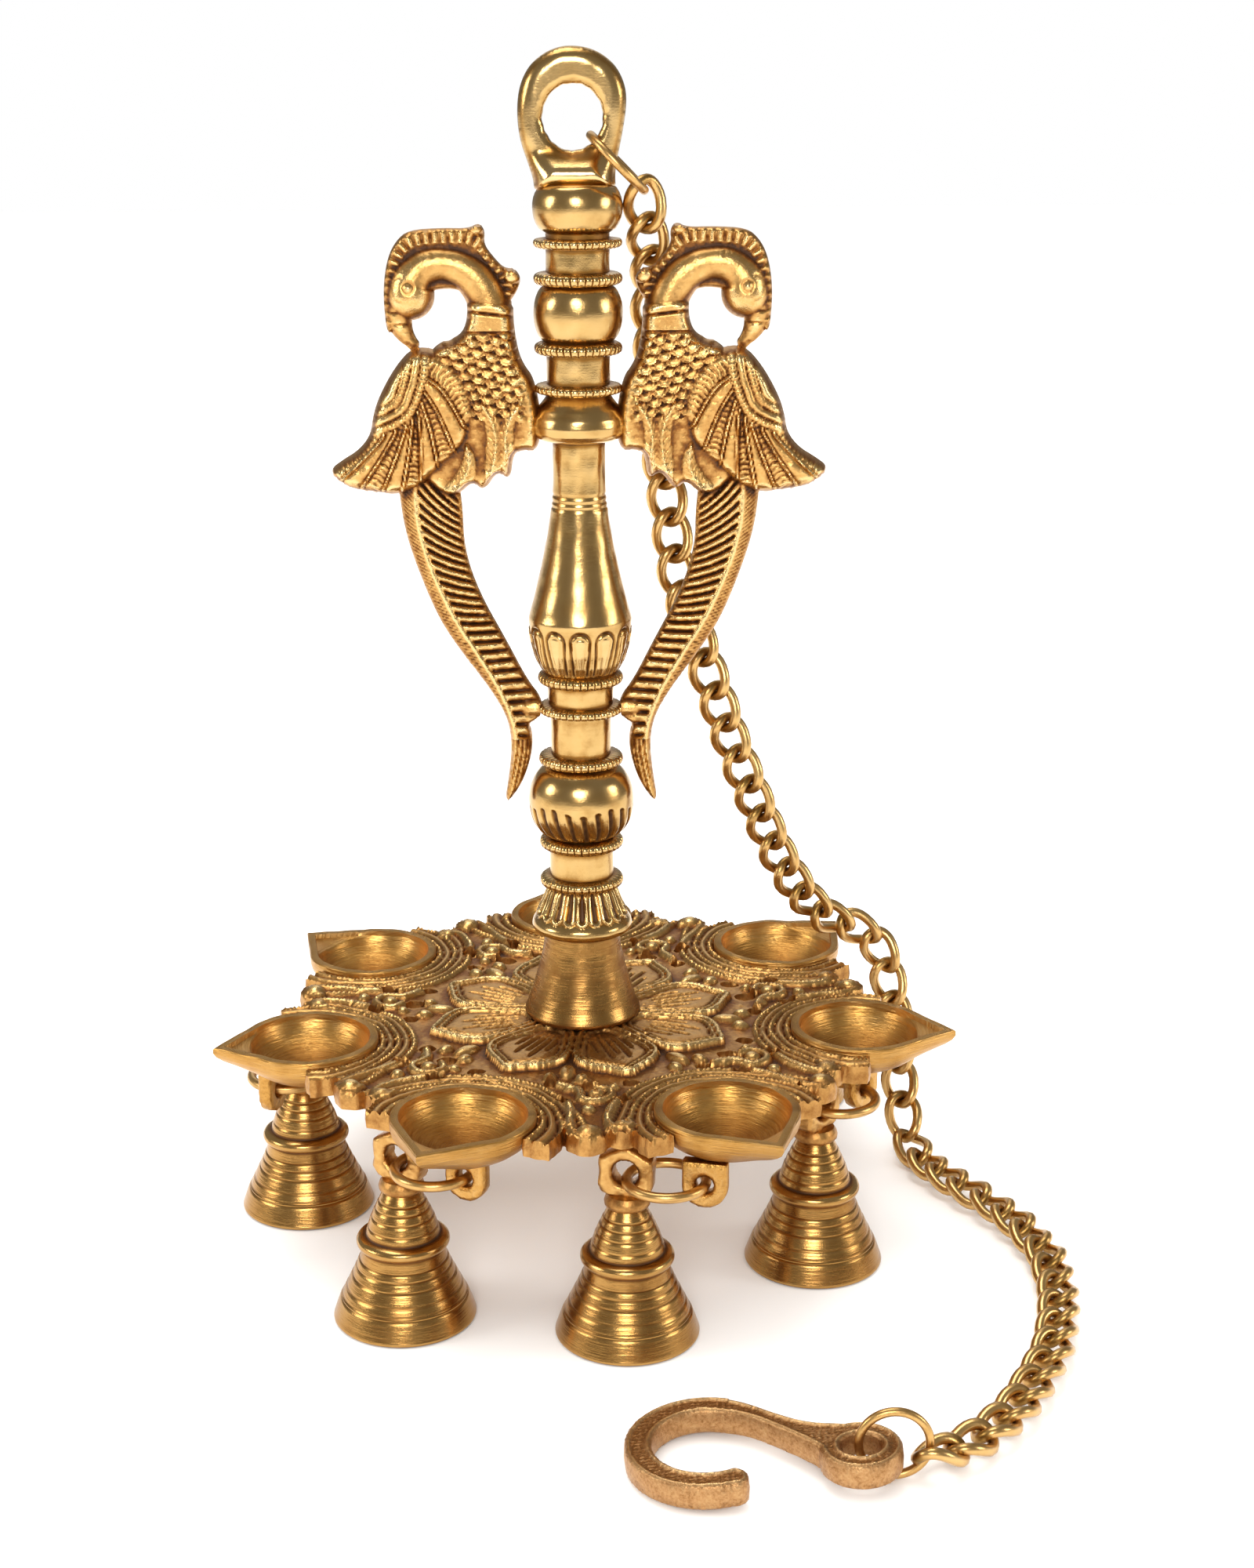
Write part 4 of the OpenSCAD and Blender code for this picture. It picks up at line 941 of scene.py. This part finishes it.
def makeCup(i):
    low, high = (np.array(corner) / mm for corner in openings[f"cup_{i}"])
    cx, cy = (low[:2] + high[:2]) / 2
    way = math.atan2(cy, cx)
    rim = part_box(f"diya_{i}")[1].z / mm
    rows = [(0.0, -12.0, 0)] + [(r, -deep, share) for r, deep, share in reversed(cup["wall"])]
    rows += [(r, -cup["depth"] * (1 - (r / cup["inner"]) ** 3.2) ** 0.6, share) for r, share in cup["bowl"]]
    rows += [(0.0, -cup["depth"], 0)]
    piece = spinPiece(f"cup{i}", [(r, h + 0.002 * k) for k, (r, h, _) in enumerate(rows)], cup["steps"])
    p = pointsOf(piece)
    turn = np.arctan2(p[:, 1], p[:, 0])
    r = np.hypot(p[:, 0], p[:, 1])
    row = np.array([np.argmin([abs(a - r0) + abs(b - h0 - 0.002 * k) for k, (r0, h0, _) in enumerate(rows)])
                    for a, b in zip(r, p[:, 2])])
    share = np.array([item[2] for item in rows])[row]
    spread = cupSpread(r, share, turn)
    bowlSide = row >= len(cup["wall"]) + 1
    flat = np.abs(p[:, 2]) < 0.5
    x, y = spread * np.cos(turn), spread * np.sin(turn)
    z = p[:, 2] + (0.1 * flat + 0.05) * waves(x + 50 * i, y, 12, 40 + i)
    c, s = math.cos(way), math.sin(way)
    movePoints(piece, np.stack([cx + x * c - y * s, cy + x * s + y * c, rim + np.minimum(z, 0.12)], -1))
    # painted shade: the bowl darker towards its bottom and the outside darker towards the underside; a lighter
    # band just inside the rim
    drop = -z / cup["depth"]
    lip = np.where(bowlSide & (drop < 0.12), 0.35, 0)
    setReliefAndShade(piece, np.where(bowlSide, 0.1 - 0.4 * drop ** 2, 0.05 - 0.4 * ease(-z, 5, 12)) + lip)
    brush = piece.data.attributes.new("brush", "FLOAT_VECTOR", "POINT")
    arcs = np.where(bowlSide, spread * 2.4 + 40 * i, z * 2.0)
    lines = np.stack([1.5 * np.cos(turn), 1.5 * np.sin(turn), arcs], -1)
    brush.data.foreach_set("vector", lines.astype(np.float32).ravel())
    smoothShade(piece, 30)
    both = joined(f"cup{i}", [piece, makeLug(i, rim)])
    finish(both, brass["turnedBrass"], "root", "turned_brass", f"diya_{i}")


def upright(x, y, z, ax, ay):
    # stands a flat relief up at x, y, z, with its thickness along the direction ax, ay
    return lambda p: np.stack([x + p[:, 0] * ay + p[:, 2] * ax,
                               y - p[:, 0] * ax + p[:, 2] * ay, z + p[:, 1]], -1)


def makeLug(i, rim):
    joint = joints[f"ring_{i}_drop"]
    lx, ly, lz = (v / mm for v in joint["pos_m"])
    ax, ay, _ = joint["axis"]
    bore = lz + 0.4
    u, v = gridOver((-7, -7), (7, rim - 9.5 - bore), 0.5)
    block = np.where(v > -0.4, cup["lugWide"] / 2 - np.abs(u), cup["lugWide"] / 2 - np.hypot(u, v + 0.4))
    block = np.minimum(block, rim - 10.0 - bore - v)
    inside = np.minimum(block, np.hypot(u, v) - cup["lugBore"] / 2)
    half = cup["lugThick"] / 2 * (1 - 0.35 * (1 - np.clip(inside / 1.2, 0, 1)) ** 2)
    half = half + 0.05 * waves(u, v, 3, i)
    piece = reliefPiece(f"lug{i}", u, v, inside, half,
                        upright(lx, ly, bore, ax, ay),
                        back=-half, bulge=0.15, reach=3, scale=0.6)
    brush = piece.data.attributes.new("brush", "FLOAT_VECTOR", "POINT")
    brush.data.foreach_set("vector", (pointsOf(piece) * 0.8).astype(np.float32).ravel())
    return piece


bell = dict(crown=33, steps=112, wall=1.9, top=37.4,
            scored=[34.2, 32.0, 29.6, 26.6, 17.4, 15.2, 12.8, 9.4, 7.0, 6.2],
            line=[(0, 19.2), (0.4, 19.5), (3, 18.6), (6, 17.5), (10, 15.7), (14, 13.9), (18, 12.4),
                  (20.4, 11.9), (24.4, 10.7), (26.6, 10.2), (29.5, 9.3), (32, 8.3), (34.2, 7.4),
                  (36, 6.5), (37.4, 5.7)],
            collar=(22.4, 1.8, 13.25), eyeHigh=14.2, eyeHalf=7.3, eyeThick=6.4, eyeBore=7.4,
            neck=[(0, 26.0), (2, 26.0), (2, 36.9), (5.5, 37.1), (6.1, 37.7), (6.2, 38.6), (5.9, 39.6),
                  (5.2, 40.6), (0, 41.4)])


def bellRadius(z):
    r = np.interp(z, [p[0] for p in bell["line"]], [p[1] for p in bell["line"]])
    middle, half, top = bell["collar"]
    t = np.clip((z - middle) / half, -1, 1)
    r = np.where(np.abs(z - middle) < half, np.maximum(r, 10.4 + (top - 10.4) * np.sqrt(1 - t * t) ** 0.7), r)
    for at in bell["scored"]:
        r = r + groove(z - at, 0.22, 0.2) - 0.1 * ease(z, at - 0.3, at + 0.3)
    return r


def makeBell(i):
    bx, by, _ = (v / mm for v in joints[f"bell_{i}_hang"]["pos_m"])
    outerZ = np.concatenate([[0.0, 0.25], np.arange(0.6, bell["top"], 0.3), [bell["top"]]])
    outerR = bellRadius(outerZ)
    innerZ = np.array([35.0, 34, 31, 27, 24, 21, 18, 14, 10.5, 7, 4, 2, 0.6, 0.0])
    innerR = np.interp(innerZ, [p[0] for p in bell["line"]], [p[1] for p in bell["line"]]) - bell["wall"]
    innerR[0] = 1.2
    profile = [(0, bell["top"])] + list(zip(outerR[::-1], outerZ[::-1]))
    profile += list(zip(innerR[::-1], innerZ[::-1])) + [(0, 35.0)]
    piece = spinPiece(f"bell{i}", profile, bell["steps"])
    p = pointsOf(piece)
    r = np.hypot(p[:, 0], p[:, 1])
    fineZ = np.arange(-3, 41, 0.15)
    fineR = bellRadius(np.clip(fineZ, 0, bell["top"]))
    level = np.interp(p[:, 2], fineZ, fineR - np.convolve(fineR, np.ones(13) / 13, "same"))
    # painted shade: the whole inside of the bell set dark; the outside follows its turned relief
    bellInsideShade = r < np.interp(p[:, 2], outerZ, outerR) - 1.2
    setReliefAndShade(piece, np.where(bellInsideShade, -0.7, np.clip(level / 0.5, -0.9, 0.8)))
    movePoints(piece, p + [bx, by, 0])
    smoothShade(piece, 38)
    finish(piece, brass["bellBrass"], f"bell_{i}", "bell_brass", f"bell_{i}")


def makeBellEye(i):
    # a faceted cast block on a turned neck, riveted through the crown, with a staple for the clapper inside
    joint = joints[f"bell_{i}_hang"]
    bx, by, _ = (v / mm for v in joint["pos_m"])
    ax, ay, _ = joint["axis"]
    top = bell["crown"] + bell["eyeHigh"]
    u, v = gridOver((-8.4, -9.2), (8.4, 8.4), 0.42)
    block = bell["eyeHalf"] - (np.abs(u) ** 3.4 + np.abs(v) ** 3.4) ** (1 / 3.4)
    block = block - 0.25 * waves(u, v, 6, 60 + i)
    block = np.minimum(block, 9.0 - np.abs(u) * 0.55 - np.abs(v + 1.0))
    inside = np.minimum(block, np.hypot(u * 1.04, v) - bell["eyeBore"] / 2)
    half = bell["eyeThick"] / 2 * (1 - 0.3 * (1 - np.clip(inside / 1.1, 0, 1)) ** 2)
    half = half + 0.1 * waves(u, v, 2.6, 70 + i)
    block = reliefPiece(f"eyeBlock{i}", u, v, inside, half,
                        upright(bx, by, top, ax, ay),
                        back=-half, bulge=0.1, reach=3, scale=0.5)
    neck = spinPiece(f"eyeNeck{i}", bell["neck"], 48)
    setReliefAndShade(neck, np.full(len(neck.data.vertices), -0.15))
    movePoints(neck, pointsOf(neck) + [bx, by, 0])
    smoothShade(neck, 40)
    clearSelection()
    lap = math.atan2(-ax, ay)
    bpy.ops.mesh.primitive_torus_add(major_radius=1.9 * mm, minor_radius=0.6 * mm,
                                     major_segments=28, minor_segments=10,
                                     location=(bx * mm, by * mm, 25.6 * mm),
                                     rotation=(math.pi / 2, 0, lap + math.pi / 2))
    staple = bpy.context.object
    bpy.ops.object.transform_apply(location=True, rotation=True, scale=True)
    setReliefAndShade(staple, np.full(len(staple.data.vertices), -0.3))
    bpy.ops.object.shade_smooth()
    whole = joined(f"bellEye{i}", [block, neck, staple])
    finish(whole, brass["castBrass"], f"bell_{i}", "cast_brass", f"bell_eye_{i}")


def makeFootCone():
    low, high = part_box("foot_cone")
    foot = low.z / mm
    tall = high.z / mm - foot
    line = [(0, 16.5), (0.5, 16.8), (1.3, 16.6), (4, 15.5), (9, 13.9), (14.5, 12.4), (20, 11.2),
            (24, 10.6), (tall, 10.5)]
    z = np.arange(0, tall + 0.01, tall / 60)
    r = np.interp(z, [p[0] for p in line], [p[1] for p in line])
    piece = spinPiece("footCone", [(0, 0.0)] + list(zip(r, z)) + [(0, tall)], 160)
    p = pointsOf(piece)
    turn = np.arctan2(p[:, 1], p[:, 0])
    pits = 0.04 * waves(turn * 14, p[:, 2], 6, 90)
    r = np.hypot(p[:, 0], p[:, 1])
    r = np.where(r > 1, r + pits, r)
    movePoints(piece, np.stack([r * np.cos(turn), r * np.sin(turn), p[:, 2] + foot], -1))
    # painted shade: darker in a band at the bottom edge and at the top, where the cone meets the parts next to it
    setReliefAndShade(piece, -0.1 - 0.5 * (1 - ease(p[:, 2], 0, 1.6)) - 0.4 * ease(p[:, 2], tall - 1.2, tall))
    smoothShade(piece, 50)
    finish(piece, brass["bellBrass"], "root", "cast_brass", "foot_cone")


hook = dict(bow=(29.5, -144), bowFrom=70, bowTo=290, inner=13.3, wide=6.6, eyeAt=(66.5, -149), eyeRound=10,
            bore=4.8, thick=7, tilt=3, pivot=9.6)


def makeHook():
    x, y = gridOver((8, -166), (78, -122), 0.4)
    bx, by = hook["bow"]
    ex, ey = hook["eyeAt"]
    turn = np.degrees(np.arctan2(y - by, x - bx)) % 360
    r = np.hypot(x - bx, y - by)
    middle = hook["inner"] + hook["wide"] / 2
    bow = hook["wide"] / 2 - np.abs(r - middle)
    bow = np.where((turn > hook["bowFrom"]) & (turn < hook["bowTo"]), bow, -9)
    end = math.radians(hook["bowTo"])
    tip = hook["wide"] / 2 + 0.3 - np.hypot(x - bx - middle * math.cos(end), y - by - middle * math.sin(end))
    eyeDisc = hook["eyeRound"] - np.hypot(x - ex, y - ey)
    start = math.radians(76)
    inner, outer = hook["inner"], hook["inner"] + hook["wide"]
    shank = curve([(bx + inner * math.cos(start), by + inner * math.sin(start)), (40, -133.4), (47, -139.4),
                   (54.5, -146.6), (60, -154), (64, -158.4), (70, -155), (70, -143), (65, -139.5),
                   (55, -138.2), (47, -133.0), (41, -128.0),
                   (bx + outer * math.cos(start), by + outer * math.sin(start)), (30, -127.4)],
                  closed=True, rounds=2)
    body = areaField(x, y, shank)
    whole = np.maximum.reduce([bow, tip, eyeDisc, body])
    bore = np.hypot((x - ex) * 0.94, y - ey) - hook["bore"]
    inside = np.minimum(np.minimum(whole, bore), r - inner)
    face = 1 - 0.14 * (1 - np.clip(inside / 1.1, 0, 1)) ** 2
    channel = -0.55 * ease(inside, 1.1, 1.7)
    pits = 0.12 * waves(x, y, 1.3, 50) + 0.08 * waves(x, y, 0.9, 51)
    high = hook["thick"] * face + (channel + pits * ease(inside, 1.0, 1.8))
    low = hook["thick"] * (1 - face) + 0.02
    lean = math.radians(hook["tilt"])
    pivot = hook["pivot"]

    def place(p):
        dx = p[:, 0] - pivot
        return np.stack([pivot + dx * math.cos(lean) - p[:, 2] * math.sin(lean), p[:, 1],
                         dx * math.sin(lean) + p[:, 2] * math.cos(lean)], -1)

    piece = reliefPiece("ceilingHook", x, y, inside, high, place, back=low, bulge=0.2, reach=4, scale=0.45)
    finish(piece, brass["pittedBrass"], "hook", "cast_brass", "hook")
    return piece


chainPiece, path, chainLength, links, ends = makeChain()
print("chain:", links, "links")
hookPiece = makeHook()
ends[2] = hookPiece
stem = joined("pillar", [makePillar(), makeEye()])
finish(stem, brass["polishedBrass"], "root", "polished_brass", "stem")
makeFootCone()
print("pillar done")
makeBird("birdRight", 1, "peacock_right")
makeBird("birdLeft", -1, "peacock_left")
print("birds done")
makePlate()
print("plate done")
for i in range(1, 8):
    makeCup(i)
    makeBell(i)
    makeBellEye(i)
print("cups and bells done")

plainNodes = ["tie_stud", "washer", "nut"] + [f"clapper_{i}" for i in range(1, 8)]
wireNodes = ["chain_top_ring", "hook_ring"] + [f"jump_ring_{i}" for i in range(1, 8)]
for names, finishName in ((plainNodes, "plainBrass"), (wireNodes, "wireBrass")):
    for name in names:
        for place in frame["nodes"][name].material_slots:
            place.material = brass[finishName]
print("carried-over nodes painted:", len(plainNodes) + len(wireNodes))
